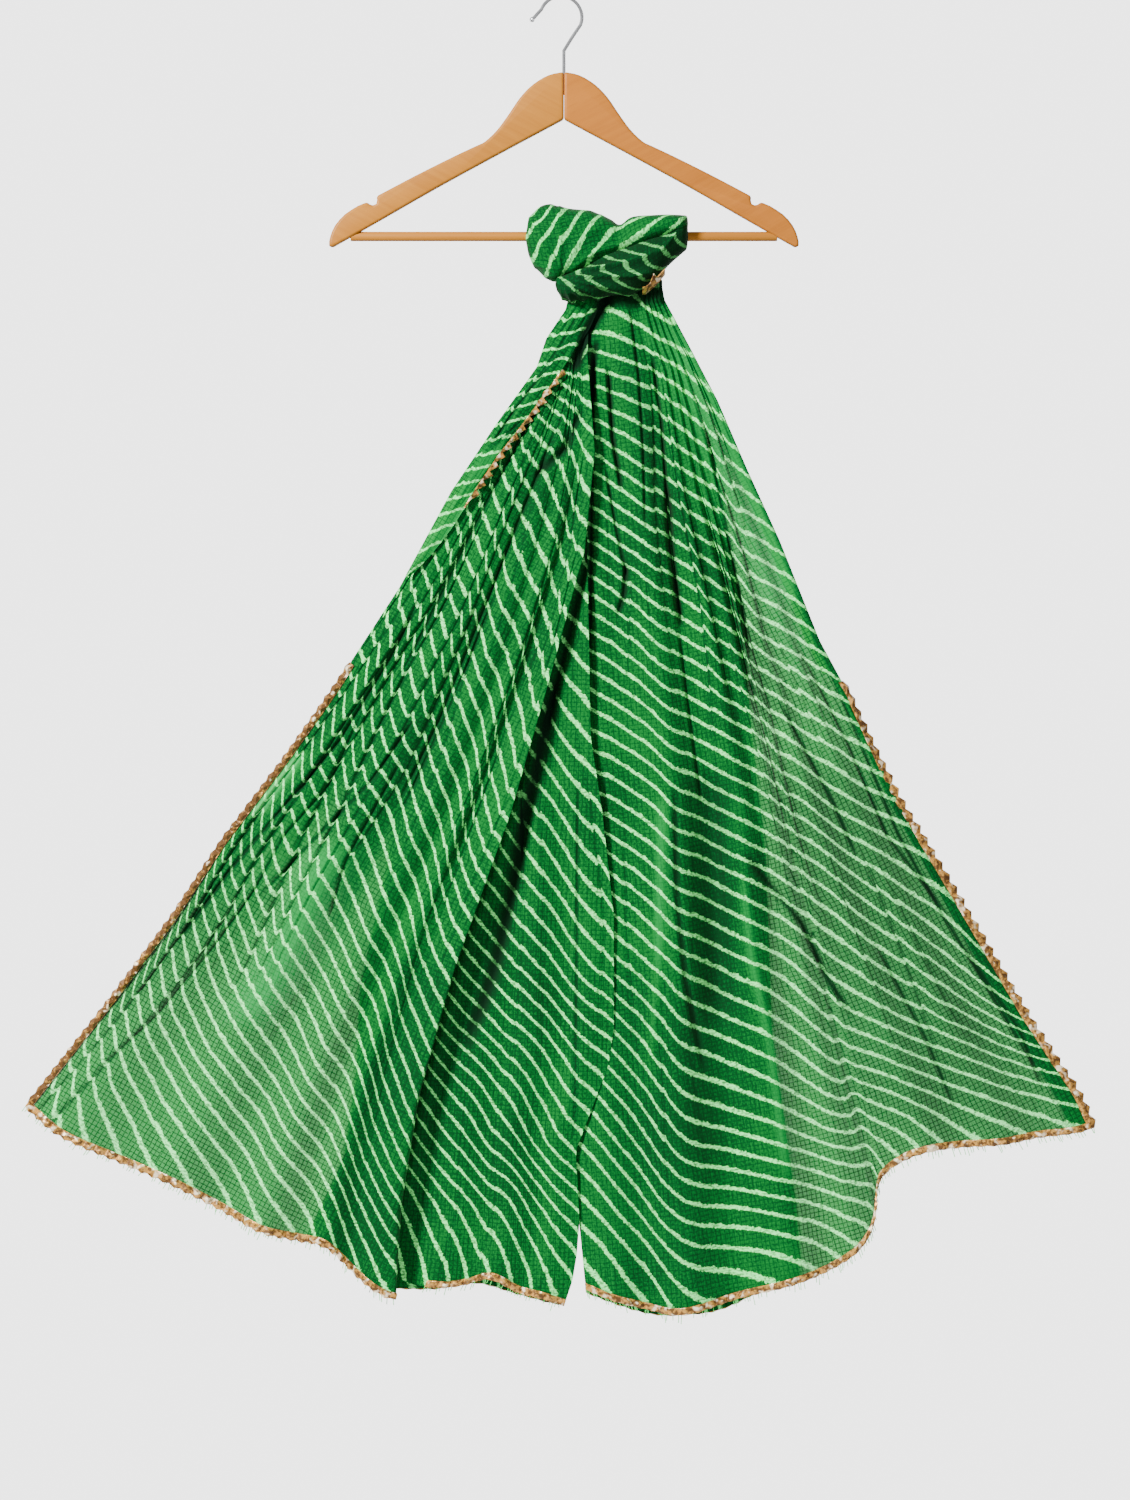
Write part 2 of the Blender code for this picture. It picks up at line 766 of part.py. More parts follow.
def main():
    for item in list(bpy.data.objects):
        bpy.data.objects.remove(item)
    green = make_material("green_cloth", (0.02, 0.33, 0.09), 0.75)
    gold = make_material("gold_tape", (0.62, 0.40, 0.20), 0.35, 0.8)
    wood_left = make_material("beech_left", (0.70, 0.44, 0.22), 0.45)
    wood_right = make_material("beech_right", (0.72, 0.38, 0.14), 0.45)
    steel = make_material("steel_wire", (0.72, 0.73, 0.75), 0.25, 1.0)
    add_hanger(wood_left, wood_right, wood_left, steel)
    add_knot(green, gold)
    add_falls(green, gold)


main()
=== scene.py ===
"""Looks for a tie-dyed stole hitched over the bar of a wooden hanger.

Tables are in millimetres and the scene is in metres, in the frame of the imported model.
"""

import math
from collections import namedtuple

import bmesh
import bpy
from mathutils import Matrix, Vector, noise


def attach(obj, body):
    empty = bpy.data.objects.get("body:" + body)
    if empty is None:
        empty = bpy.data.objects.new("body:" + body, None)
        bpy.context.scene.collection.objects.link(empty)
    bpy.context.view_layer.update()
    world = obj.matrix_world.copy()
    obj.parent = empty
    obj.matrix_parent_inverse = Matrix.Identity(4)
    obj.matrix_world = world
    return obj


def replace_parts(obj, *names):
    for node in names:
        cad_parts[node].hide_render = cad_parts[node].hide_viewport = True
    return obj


bl_info = {
    "name": "Stole on a hanger",
    "version": (1, 0, 0),
    "blender": (4, 5, 0),
    "location": "View3D > Sidebar > Stole",
    "description": "Dresses a packed stole and its hanger with cloth, tape, wood and steel",
    "category": "Object",
}

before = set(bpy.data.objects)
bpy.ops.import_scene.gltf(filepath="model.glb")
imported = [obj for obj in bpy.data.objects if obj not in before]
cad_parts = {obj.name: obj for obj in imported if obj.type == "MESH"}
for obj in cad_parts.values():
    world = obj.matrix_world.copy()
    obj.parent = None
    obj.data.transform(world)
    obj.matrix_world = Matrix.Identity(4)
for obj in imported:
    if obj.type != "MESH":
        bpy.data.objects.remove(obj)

MM = 0.001

# Hanger
HANGER_X = 2.8
ARM_DEPTH = 13.0
ARM_ROUNDING = 2.5
ARM_SLOPE = 27.5
BAR_RADIUS = 4.5
BAR_Z = -225.9
BAR_END = 202.0

# Falls
NECK_Z = -262.8
PLEAT_JUMP = 0.36
ROW_POWER = 1.1
WEAVE_PATCHES = 5

# Hitch
KNOT_POWER = 2.5
PLEATS_MEET = (-1.0, -266.0)
ROLL_COLUMNS = 110
ROLL_TURNS = 128
START_ANGLE = 20

# Tape and loose threads
TOOTH_STEPS = 6
BAND_STEPS = 4
TAPE_LIFT = 1.25
TOOTH_LIFT = 1.3
THREAD_SPACING = 2.9
THREAD_WIDTH = 0.36
THREAD_LIFT = 0.4
THREAD_SEED = 7

# Stage, in metres
CAMERA_PLACE = (0.0038, -6.0, -0.7122)
SENSOR_HEIGHT = 36.0
FRAME_HEIGHT = 1.4205
AIM = Vector((0, 0, -0.7))
SKY_SEEN = 3.5
SKY_LIT = 0.40

Spot = namedtuple("Spot", "offset z")
Edge = namedtuple("Edge", "z x")
Ray = namedtuple("Ray", "name neck_x hem_x hem_z y_neck y_middle y_hem")
Ring = namedtuple("Ring", "x top bottom front back")
Crease = namedtuple("Crease", "width depth dark spots")
# A panel's seed sets its noise, lay is how its weave is turned in degrees at its left and right
Panel = namedtuple(
    "Panel",
    "name rays columns rows dye lay pleats gathers seed crowd sheer_from turned_in backing creases",
    defaults=(1.0, 1.4, 0.0, None, ()),
)
Roll = namedtuple("Roll", "name node rings count depth turn dye dark tuck seed")
Sheet = namedtuple("Sheet", "panel node flat area held rests_on edging")

# Half of the hanger's outline, as offsets from its middle
ARM_TOP = tuple(Spot(*row) for row in (
    (0.15, -70.5), (14.5, -73.5), (29.5, -82.5), (41.5, -94.8), (51.5, -109.5), (63.0, -125.2),
    (74.5, -136.2), (83.0, -140.5), (104.0, -150.4), (141.0, -168.9), (177.5, -188.2),
))
ARM_NOTCH = tuple(Spot(*row) for row in (
    (176.8, -191.6), (177.6, -195.2), (181.0, -197.3), (184.2, -195.4), (186.4, -193.6),
))
ARM_TIP = tuple(Spot(*row) for row in (
    (195.0, -197.2), (207.3, -205.2), (216.6, -215.8), (221.2, -226.4), (222.2, -234.7),
    (218.2, -235.9),
))
ARM_UNDER = tuple(Spot(*row) for row in (
    (208.0, -230.2), (171.0, -209.2), (120.0, -180.0), (66.5, -150.8), (21.8, -126.8),
    (0.15, -115.2),
))

# The outlines of the falls, from the neck down
EDGES = {
    "left_edge": tuple(Edge(*row) for row in (
        (-262, 8), (-293, 6), (-323, -14), (-350, -23), (-405, -62), (-468, -104), (-557, -152),
        (-652, -214), (-724, -265), (-798, -321), (-872, -370), (-961, -437), (-1049, -506),
    )),
    "turned_edge": tuple(Edge(*row) for row in (
        (-262, 30), (-291, 37), (-314, 27), (-347, 5), (-384, -19), (-422, -49), (-462, -77),
        (-504, -104), (-526, -121), (-548, -142),
    )),
    "knife_fold": tuple(Edge(*row) for row in (
        (-262, 28), (-340, 25), (-430, 32), (-524, 22), (-644, -11), (-776, -49), (-918, -100),
        (-1042, -135), (-1146, -153), (-1230, -156),
    )),
    "under_fold": tuple(Edge(*row) for row in (
        (-262, 12), (-400, -20), (-557, -100), (-700, -150), (-826, -166), (-938, -190),
        (-1019, -194), (-1098, -205), (-1168, -238),
    )),
    "left_slit": tuple(Edge(*row) for row in (
        (-262, 24), (-530, 25), (-700, 28), (-771, 39), (-869, 50), (-975, 50), (-1010, 45),
        (-1047, 31), (-1091, 14), (-1158, 17.5), (-1190, 15), (-1214, 11), (-1238, 3),
    )),
    "left_back_edge": tuple(Edge(*row) for row in (
        (-262, 14), (-524, 0), (-776, -78), (-1042, -148), (-1222, -166),
    )),
    "left_back_slit": tuple(Edge(*row) for row in (
        (-262, 34), (-300, 33), (-335, 24), (-352, 17), (-560, 14), (-700, 13), (-800, 9),
        (-1060, 5), (-1238, -2),
    )),
    "right_slit": tuple(Edge(*row) for row in (
        (-262, 31), (-300, 26.5), (-330, 24), (-362, 23), (-396, 21), (-560, 20), (-700, 19),
        (-800, 15), (-1060, 12), (-1140, 14.5), (-1158, 17), (-1214, 22.5), (-1222, 24),
    )),
    "right_edge": tuple(Edge(*row) for row in (
        (-262, 94), (-286, 98), (-329, 121), (-381, 148), (-446, 176), (-514, 207), (-609, 245),
        (-666, 276), (-759, 321), (-852, 376), (-963, 441), (-1040, 491), (-1069, 504),
    )),
    "right_valley": tuple(Edge(*row) for row in (
        (-262, 66), (-329, 80), (-355, 88), (-475, 99), (-591, 118), (-742, 139), (-850, 147),
        (-1231, 165),
    )),
    "right_back_edge": tuple(Edge(*row) for row in (
        (-262, 88), (-380, 126), (-466, 152), (-574, 169), (-728, 184), (-813, 194), (-984, 200),
        (-1138, 222), (-1197, 227),
    )),
}

# Each stretch of cloth, ray by ray from its left
LEFT_FRONT = tuple(Ray(*row) for row in (
    ("left_edge", 8, -506, -1049, -5.4, -7, -9),
    ("wave", 10, -472, -1076, -6.2, -15, -19),
    ("hollow", 12, -419, -1100, -5.4, -11, -11),
    ("wave", 14, -368, -1121, -6.4, -19, -24),
    ("hollow", 16, -321, -1146, -5.4, -12, -13),
    ("wave", 18, -283, -1166, -6.4, -20, -25),
    ("hollow", 20, -247, -1175, -5.4, -13, -14),
    ("wave", 22, -223, -1180, -6.4, -21, -26),
    ("hollow", 24, -200, -1201, -5.4, -15, -15),
    ("wave", 26, -176, -1221, -6.4, -22, -26),
    ("knife_fold", 28, -156, -1230, -5.8, -24, -26),
))
LEFT_RETURN = tuple(Ray(*row) for row in (
    ("under", 26, -165, -1222, -3.4, -9, -9),
    ("under", 20, -195, -1194, -3.2, -8, -8),
    ("under_fold", 13, -238, -1168, -3.2, -7, -8),
))
LEFT_INNER = tuple(Ray(*row) for row in (
    ("under_fold", 12, -238, -1168, -0.9, -3, -3),
    ("under", 15, -194, -1184, -0.9, -2, -2),
    ("hollow", 17, -150, -1214, -0.9, -2, -1),
    ("wave", 18, -119, -1220, -1.1, -3, -9),
    ("hollow", 20, -92, -1218, -0.9, -1, -3),
    ("wave", 21, -67, -1212, -1.1, -6, -11),
    ("hollow", 22, -41, -1225, -0.9, -3, -4),
    ("wave", 23, -20, -1230, -1.1, -9, -9),
    ("left_slit", 24, 3, -1238, -0.9, -12, -4),
))
LEFT_BACK = tuple(Ray(*row) for row in (
    ("left_back_edge", 14, -166, -1222, 2.6, 5, 6),
    ("hollow", 19, -119, -1223, 3.4, 9, 13),
    ("wave", 24, -80, -1217, 3.8, 5, 6),
    ("hollow", 29, -38, -1229, 4.2, 9, 13),
    ("left_back_slit", 34, -2, -1238, 4.4, 6, 5),
))
TURNED = tuple(Ray(*row) for row in (
    ("left_edge", 8, -147, -548, -8.0, -9.5, -14.5),
    ("wave", 19, -145, -548, -9.6, -16, -17.5),
    ("turned_edge", 30, -142, -548, -8.4, -13, -15.5),
))
RIGHT_FRONT = tuple(Ray(*row) for row in (
    ("right_slit", 31, 24, -1222, -3.9, 1, -5),
    ("wave", 36, 53, -1233, -5.7, -4, -15),
    ("hollow", 41, 84, -1241, -4.2, -4, -9),
    ("wave", 48, 106, -1245, -6.6, -12, -18),
    ("wave", 57, 125, -1243, -6.2, -16, -22),
    ("right_valley", 66, 165, -1231, -3.8, -3, -8),
    ("wave", 71, 216, -1217, -6.6, -19, -26),
    ("hollow", 74, 254, -1203, -4.4, -10, -13),
    ("wave", 76, 279, -1186, -6.4, -17, -23),
    ("hollow", 78, 294, -1163, -4.6, -11, -18),
    ("hollow", 80, 298, -1134, -4.6, -10, -12),
    ("wave", 82, 304, -1115, -6.2, -15, -12),
    ("hollow", 84, 323, -1100, -4.6, -9, -15),
    ("wave", 86, 347, -1091, -6.0, -16, -22),
    ("hollow", 88, 379, -1087, -4.6, -9, -13),
    ("wave", 90, 418, -1084, -5.8, -15, -21),
    ("hollow", 91.5, 451, -1078, -4.6, -8, -11),
    ("wave", 93, 484, -1074, -5.4, -10, -13),
    ("right_edge", 94.5, 504, -1069, -4.4, -6, -9),
))
RIGHT_BACK = tuple(Ray(*row) for row in (
    ("right_slit", 31, 27, -1226, 1.6, 6, 5),
    ("hollow", 41, 56, -1239, 2.6, 10, 13),
    ("wave", 51, 84, -1246, 1.6, 6, 6),
    ("hollow", 61, 113, -1248, 2.6, 10, 13),
    ("wave", 70, 151, -1242, 1.6, 6, 5),
    ("hollow", 79, 190, -1224, 2.4, 9, 10),
    ("right_back_edge", 88, 227, -1197, 1.6, 3, 3),
))
EDGE_FOLD = tuple(Ray(*row) for row in (
    ("right_edge", 94, 262, -640, -1.9, -0.5, -0.5),
    ("turned_under", 86, 248, -640, -1.9, 1.5, 0.5),
))

# The hitch, ring by ring from its left
KNOT_LOOP = tuple(Ring(*row) for row in (
    (-32.2, -217, -237, -12, 11),
    (-30.5, -209, -245, -20, 18),
    (-26.5, -203, -253, -26, 23),
    (-19.9, -197, -261, -31, 26),
    (-10.4, -195, -268, -34, 27),
    (-2.8, -198, -268.5, -34, 27),
    (4.7, -199, -264, -34, 27),
    (16.1, -199.5, -257, -33, 27),
    (27.5, -201, -251, -32, 26),
    (36.9, -206, -246, -30, 26),
    (47.3, -210, -241, -28, 25),
    (55.9, -214, -237, -26, 24),
    (67.2, -206.5, -232.6, -28, 25),
    (87.1, -205.3, -224.4, -30, 26),
    (105.0, -206, -217, -28, 24),
    (114.5, -206.4, -214, -23, 20),
    (119.3, -207.5, -212, -13, 12),
))
KNOT_WRAP = tuple(Ring(*row) for row in (
    (-4.0, -266.5, -278, -24, -10),
    (1.0, -264, -286, -30, 8),
    (7.6, -261, -290, -34, 22),
    (20.8, -254, -288, -36, 25),
    (44.5, -241.5, -285, -36, 26),
    (68.2, -231, -281, -36, 26),
    (80.0, -226, -276, -35, 26),
    (90.0, -222.5, -267, -33, 25),
    (98.5, -219.5, -259, -30, 23),
    (108.0, -216, -250, -26, 20),
    (115.5, -213, -243.5, -22, 17),
    (119.3, -212, -239, -14, 11),
))
KNOT_BACK = tuple(Ring(*row) for row in (
    (1.5, -266.0, -278, 8, 18),
    (8.0, -263.4, -287, 6.0, 24),
    (22.0, -263.2, -291, 6.0, 27),
    (48.0, -263.2, -290, 6.0, 28),
    (72.0, -263.2, -287, 6.0, 27),
    (86.0, -263.4, -283, 6.0, 24),
    (95.0, -265.5, -275, 8, 17),
))

# How many stripes lie above each spot of a panel: rows run from the neck to the hem
LEFT_DYE = (
    (-21.4, -24.0, -24.3, -22.2, -20.5, -19.9),
    (-10.7, -13.1, -14.0, -15.0, -15.8, -16.3),
    (-2.9, -5.5, -7.9, -9.1, -10.2, -11.0),
    (4.4, 2.1, -0.5, -3.2, -4.7, -5.3),
    (14.2, 10.8, 7.6, 5.0, 3.6, 2.6),
    (23.9, 19.3, 16.2, 13.2, 11.0, 9.3),
    (31.2, 27.2, 23.9, 20.7, 18.6, 17.3),
)
INNER_DYE = (
    (-29.0, -29.3, -29.6, -30.0),
    (-21.6, -22.4, -23.6, -24.6),
    (-14.4, -16.2, -18.2, -19.4),
    (-7.4, -9.9, -12.5, -14.5),
    (1.2, -2.7, -6.4, -9.0),
    (9.7, 6.7, 2.6, 0.0),
    (18.0, 14.1, 10.6, 7.8),
)
RIGHT_DYE = (
    (-20.3, -20.1, -20.7, -20.9, -21.0, -21.1, -20.8),
    (-11.3, -12.3, -13.9, -14.9, -15.7, -16.4, -17.1),
    (-1.6, -3.4, -6.0, -7.9, -9.3, -10.8, -11.9),
    (7.1, 5.4, 2.1, -0.4, -2.7, -4.5, -6.2),
    (16.2, 13.8, 10.3, 6.9, 4.2, 1.3, -0.6),
    (25.2, 21.2, 17.7, 13.4, 10.0, 7.0, 2.8),
    (30.6, 28.1, 25.9, 21.8, 17.0, 13.7, 11.9),
)
LEFT_BACK_DYE = ((-24.0, -26.0), (-4.0, -10.0), (19.0, 10.0))
RIGHT_BACK_DYE = ((-20.0, -24.0), (5.0, -6.0), (31.0, 17.0))
TURNED_DYE = ((-18.0, -17.5), (-9.0, -8.5), (0.0, 0.5))
EDGE_FOLD_DYE = ((-20.0, -20.5), (-2.0, -3.0))

# How strongly the cloth is gathered into small crinkles: rows run from the neck to the hem
LEFT_GATHERS = (
    (0.3, 0.3, 0.3, 0.3, 0.3, 0.3),
    (0.8, 0.8, 0.8, 0.7, 0.7, 0.6),
    (1.1, 0.9, 0.8, 0.7, 0.6, 0.5),
    (1.5, 1.1, 0.4, 0.4, 0.4, 0.3),
    (1.6, 0.9, 0.1, 0.2, 0.2, 0.1),
    (1.0, 0.3, 0.1, 0.1, 0.1, 0.1),
)
RIGHT_GATHERS = (
    (0.3, 0.3, 0.3, 0.3, 0.3, 0.3),
    (0.8, 0.8, 0.9, 0.8, 0.8, 0.6),
    (0.5, 0.6, 0.6, 0.7, 0.7, 0.5),
    (0.3, 0.3, 0.4, 0.4, 0.5, 0.4),
    (0.1, 0.2, 0.2, 0.2, 0.35, 0.3),
    (0.1, 0.1, 0.1, 0.1, 0.2, 0.2),
)
EVEN_GATHERS = ((0.3, 0.3), (0.6, 0.6), (0.4, 0.4), (0.2, 0.2))

# Folds that the hitch presses into the ends, each down its own line: dark is how much shade is painted along
# it, and below 0 how much highlight is painted; those of no depth are only painted shade or highlight
CAVITY = Crease(5.5, 4.0, 1.3, ((44, -272), (36, -298), (25, -317), (18, -336), (12, -354)))
TURNED_CREASES = (
    CAVITY,
    Crease(12.0, 0.0, -0.5, ((-45, -420), (-90, -490), (-128, -545))),
    Crease(1.6, 2.0, 0.5, ((22, -290), (0, -330), (-40, -385), (-70, -430))),
)
RIGHT_CREASES = (
    CAVITY,
    Crease(3.0, 4.0, 0.9, ((34, -325), (31, -350), (29, -385))),
    Crease(2.0, 3.0, 0.9, ((29, -330), (29, -420), (28, -520), (27, -619))),
    Crease(2.2, 6.0, 0.9, ((45, -352), (49, -416), (58, -468))),
    Crease(1.5, 4.0, 0.7, ((86, -335), (95, -400), (101, -480))),
    Crease(2.9, 8.0, 1.0, ((101, -468), (104, -518), (108, -550), (114, -594))),
    Crease(1.5, 4.0, 0.7, ((43, -448), (52, -500), (62, -546))),
    Crease(2.6, 5.0, 0.9, ((62, -536), (60, -565), (54, -584))),
    Crease(1.5, 3.0, 0.5, ((66, -296), (74, -360), (78, -430), (80, -500))),
    Crease(1.6, 3.0, 0.6, ((138, -410), (156, -500), (168, -560), (178, -620))),
    Crease(1.5, 3.0, 0.5, ((112, -600), (122, -680), (133, -760))),
    Crease(17.0, 8.0, 0.45, ((146, -735), (146, -848), (150, -970))),
    Crease(3.0, 3.0, 0.6, ((108, -750), (110, -850), (118, -930), (136, -1015))),
    Crease(6.0, -3.0, -0.3, ((96, -760), (92, -911), (84, -1010))),
    Crease(6.0, -3.5, -0.3, ((170, -826), (180, -911), (198, -984), (215, -1114))),
    Crease(16.0, 4.0, 0.0, ((26, -760), (32, -850), (34, -975), (26, -1030), (14, -1080))),
    Crease(55.0, 0.0, 0.22, ((85, -900), (90, -1060), (90, -1240))),
    Crease(95.0, 0.0, 0.20, ((250, -720), (320, -900), (380, -1080))),
    Crease(1.8, 3.0, 0.6, ((207, -667), (258, -763), (279, -812))),
    Crease(1.5, 3.0, 0.5, ((228, -620), (271, -705), (309, -794), (367, -870))),
    Crease(1.6, 1.5, 0.6, ((255, -640), (283, -705), (318, -790), (362, -870), (402, -935), (446, -1010))),
    Crease(26.0, 0.0, -0.3, ((104, -300), (140, -390), (178, -480), (215, -570))),
    Crease(18.0, 0.0, -0.14, ((196, -550), (216, -600), (236, -650))),
    Crease(14.0, 0.0, 0.25, ((60, -330), (86, -430), (128, -520), (170, -600), (196, -680))),
    Crease(2.4, 3.5, 0.7, ((173, -810), (228, -877), (254, -932), (275, -962))),
    Crease(1.6, 3.0, 0.5, ((384, -903), (435, -978), (455, -1032))),
    Crease(1.6, 3.0, 0.5, ((300, -900), (345, -985), (372, -1050))),
)
LEFT_CREASES = (
    CAVITY,
    Crease(6.0, 0.0, -0.9, ((-246, -715), (-268, -745), (-290, -775))),
    Crease(4.0, 0.0, -0.6, ((-180, -575), (-212, -635), (-240, -690))),
    Crease(14.0, 4.0, 0.22, ((-200, -640), (-262, -745), (-318, -835), (-372, -905), (-440, -975))),
    Crease(1.6, 3.0, 0.35, (
        (-182, -665), (-222, -748), (-261, -793), (-291, -847), (-328, -898), (-382, -963), (-437, -1014),
    )),
    Crease(1.6, 3.5, 0.6, ((-138, -683), (-182, -745), (-218, -781), (-247, -811), (-277, -843))),
    Crease(1.5, 2.5, 0.5, ((-152, -724), (-204, -818), (-218, -869))),
    Crease(24.0, -5.0, -0.36, ((-215, -800), (-242, -880), (-295, -970))),
    Crease(26.0, 0.0, 0.25, ((-120, -900), (-170, -1080), (-185, -1200))),
    Crease(4.0, 5.0, 0.8, ((18, -392), (6, -425), (-22, -452))),
    Crease(2.0, 4.0, 0.6, ((-1, -400), (-39, -494), (-77, -589), (-115, -684), (-152, -760))),
    Crease(7.0, 5.0, 0.15, ((23, -447), (-1, -532), (-39, -646), (-77, -750), (-104, -830))),
    Crease(2.0, 4.0, 0.6, (
        (-134, -570), (-162, -627), (-209, -703), (-257, -760), (-313, -826), (-361, -892),
    )),
    Crease(1.8, 3.5, 0.6, ((-20, -380), (-66, -470), (-110, -560), (-150, -640))),
    Crease(1.6, 3.0, 0.5, ((-60, -560), (-100, -660), (-150, -770))),
)
INNER_CREASES = (
    Crease(3.0, 3.0, 0.7, ((30, -450), (24, -535), (-2, -640), (-14, -690))),
    Crease(7.0, 5.0, 0.95, (
        (-6, -652), (-21, -720), (-35, -779), (-41, -816), (-48, -854), (-60, -911), (-72, -949),
        (-88, -990),
    )),
    Crease(8.0, -7.0, 0.05, ((3, -640), (-44, -776), (-95, -918), (-130, -1042), (-147, -1146))),
    Crease(15.0, 2.5, 0.0, ((39, -771), (50, -869), (50, -975), (45, -1010), (31, -1047), (14, -1091))),
    Crease(28.0, 0.0, 0.22, ((-100, -960), (-128, -1060), (-140, -1170))),
    Crease(1.3, 2.5, 0.6, ((16, -740), (15, -900), (13, -1075))),
    Crease(9.0, -2.0, 0.12, ((-20, -820), (-40, -1000), (-60, -1150))),
)
# Where the loop of the hitch laps over the wrap: a line of painted shade, with no depth
LAP = (Crease(2.6, 0.0, 0.95, ((-4, -271), (32, -247), (60, -232), (84, -225), (119, -211))),)

EVEN_PLEATS = ((0.1, 0.1), (0.1, 0.1))
LEFT = Panel(
    "stole_left_front", LEFT_FRONT + LEFT_RETURN, columns=400, rows=200, dye=LEFT_DYE, lay=(-31, -22),
    pleats=1.5, crowd=0.8, gathers=LEFT_GATHERS, seed=3.0, sheer_from=0.71, backing=("under_fold", -1),
    creases=LEFT_CREASES,
)
INNER = Panel(
    "stole_left_inner", LEFT_INNER, columns=150, rows=150, dye=INNER_DYE, lay=(-8, -1), pleats=0.7,
    gathers=EVEN_GATHERS, seed=11.0, creases=INNER_CREASES,
)
LEFT_REAR = Panel(
    "stole_left_back", LEFT_BACK, columns=84, rows=90, dye=LEFT_BACK_DYE, lay=(-10, 0), pleats=1.2,
    gathers=EVEN_GATHERS, seed=17.0,
)
TURNED_STRIP = Panel(
    "stole_left_turned", TURNED, columns=40, rows=120, dye=TURNED_DYE, lay=(-31, -31), pleats=1.5,
    gathers=EVEN_GATHERS, seed=23.0, sheer_from=0.7, creases=TURNED_CREASES,
)
RIGHT = Panel(
    "stole_right_front", RIGHT_FRONT, columns=400, rows=200, dye=RIGHT_DYE, lay=(3, 30), pleats=0.9,
    gathers=RIGHT_GATHERS, seed=29.0, sheer_from=0.22, turned_in=1.15, backing=("right_back_edge", 1),
    creases=RIGHT_CREASES,
)
RIGHT_REAR = Panel(
    "stole_right_back", RIGHT_BACK, columns=100, rows=90, dye=RIGHT_BACK_DYE, lay=(0, 12), pleats=1.0,
    gathers=EVEN_GATHERS, seed=37.0,
)
FOLDED_EDGE = Panel(
    "stole_right_edge_fold", EDGE_FOLD, columns=10, rows=60, dye=EDGE_FOLD_DYE, lay=(20, 20), pleats=1.0,
    gathers=EVEN_PLEATS, seed=41.0,
)

# Each sheet's node, its flat size and area in metres, how it is held and by what, and what is sewn to it
SHEETS = tuple(Sheet(*row) for row in (
    (LEFT, "fall_left_front", (0.47, 0.97), 0.25, "gathered", "hitch_loop",
     ("gold_hem_left", "gold_side_left", "loose_threads")),
    (INNER, "fall_left_inner", (0.25, 0.97), 0.13, "gathered", "hitch_loop", ("gold_hem_inner",)),
    (LEFT_REAR, "fall_left_back", (0.17, 0.97), 0.09, "gathered", "hitch_band", ("gold_back_left",)),
    (TURNED_STRIP, "fall_left_turned", (0.05, 0.32), 0.0079, "folded", "hitch_loop", ("gold_turned",)),
    (RIGHT, "fall_right_front", (0.52, 0.97), 0.29, "gathered", "hitch_loop",
     ("gold_hem_right", "gold_side_right")),
    (RIGHT_REAR, "fall_right_back", (0.21, 0.97), 0.13, "gathered", "hitch_band", ("gold_back_right",)),
    (FOLDED_EDGE, "fall_right_edge_fold", (0.02, 0.4), 0.005, "folded", "hitch_band", ()),
))


def size_setting(name, description, default):
    """A size in metres that the panel shows."""
    return bpy.props.FloatProperty(name=name, description=description, default=default, unit="LENGTH")


def colour_setting(name, description, default):
    """A colour that the panel shows."""
    return bpy.props.FloatVectorProperty(
        name=name, description=description, default=default, subtype="COLOR", min=0, max=1
    )


class StoleSizes(bpy.types.PropertyGroup):
    stripe_pitch: size_setting("Stripe pitch", "Distance from one dyed stripe to the next", 0.0163)
    stripe_width: size_setting("Stripe width", "Width of a pale stripe", 0.0039)
    check_pitch: size_setting("Check pitch", "Distance between the thicker threads", 0.0043)
    thread_pitch: size_setting("Thread pitch", "Distance between the fine threads", 0.0009)
    crinkle_depth: size_setting("Crinkle depth", "Depth of the small gathers", 0.0030)
    tooth_pitch: size_setting("Tooth pitch", "Distance between two points of the tape", 0.0135)
    tooth_reach: size_setting("Tooth reach", "How far a point passes the cloth's edge", 0.0046)
    floor_radius: size_setting("Floor radius", "Radius of the round floor", 0.78)
    floor_height: size_setting("Floor height", "Height of the floor's top", -1.52)


class StoleColours(bpy.types.PropertyGroup):
    green: colour_setting("Green", "Dyed ground", (0.0, 0.130, 0.018))
    # Deep green is the darker dye tone and also the painted shade that the Fold map adds
    dye_and_shade_green: colour_setting("Deep green", "Ground where the dye lies heavier", (0.0, 0.042, 0.006))
    lit_green: colour_setting("Lit green", "Ridges that catch the light", (0.004, 0.30, 0.055))
    thin_green: colour_setting("Thin green", "Single layer with light through it", (0.008, 0.205, 0.026))
    # Fold green is painted shade: the near-black mixed in where the Fold map is dark
    painted_shade_green: colour_setting("Fold green", "Cloth that is pressed into a deep fold", (0.0, 0.010, 0.003))
    # Stripe is also the colour of the strongest painted highlights
    stripe: colour_setting("Stripe", "Stripes that the dye left pale", (0.22, 1.0, 0.26))
    # Gold and old gold mix in patches that are partly tarnish and partly painted shade of the tape's facets;
    # glint is a painted highlight
    gold: colour_setting("Gold", "Lit side of the tape", (0.60, 0.30, 0.06))
    tarnish_and_shade_gold: colour_setting("Old gold", "Darker threads of the tape", (0.12, 0.05, 0.008))
    glint: colour_setting("Glint", "Brightest facets of the tape", (1.0, 0.82, 0.55))
    wood_left: colour_setting("Left wood", "Paler arm and the bar", (0.36, 0.138, 0.013))
    wood_right: colour_setting("Right wood", "Warmer arm", (0.34, 0.115, 0.011))
    steel: colour_setting("Steel", "Wire of the hook", (0.72, 0.73, 0.75))
    floor: colour_setting("Floor", "Plain pale floor", (0.78, 0.78, 0.78))


def read_edge(name, z):
    """The X of a named outline at a height."""
    rows = EDGES[name]
    for upper, lower in zip(rows, rows[1:]):
        if z >= lower.z:
            share = min((upper.z - z) / (upper.z - lower.z), 1)
            return upper.x + (lower.x - upper.x) * max(share, 0)
    return rows[-1].x


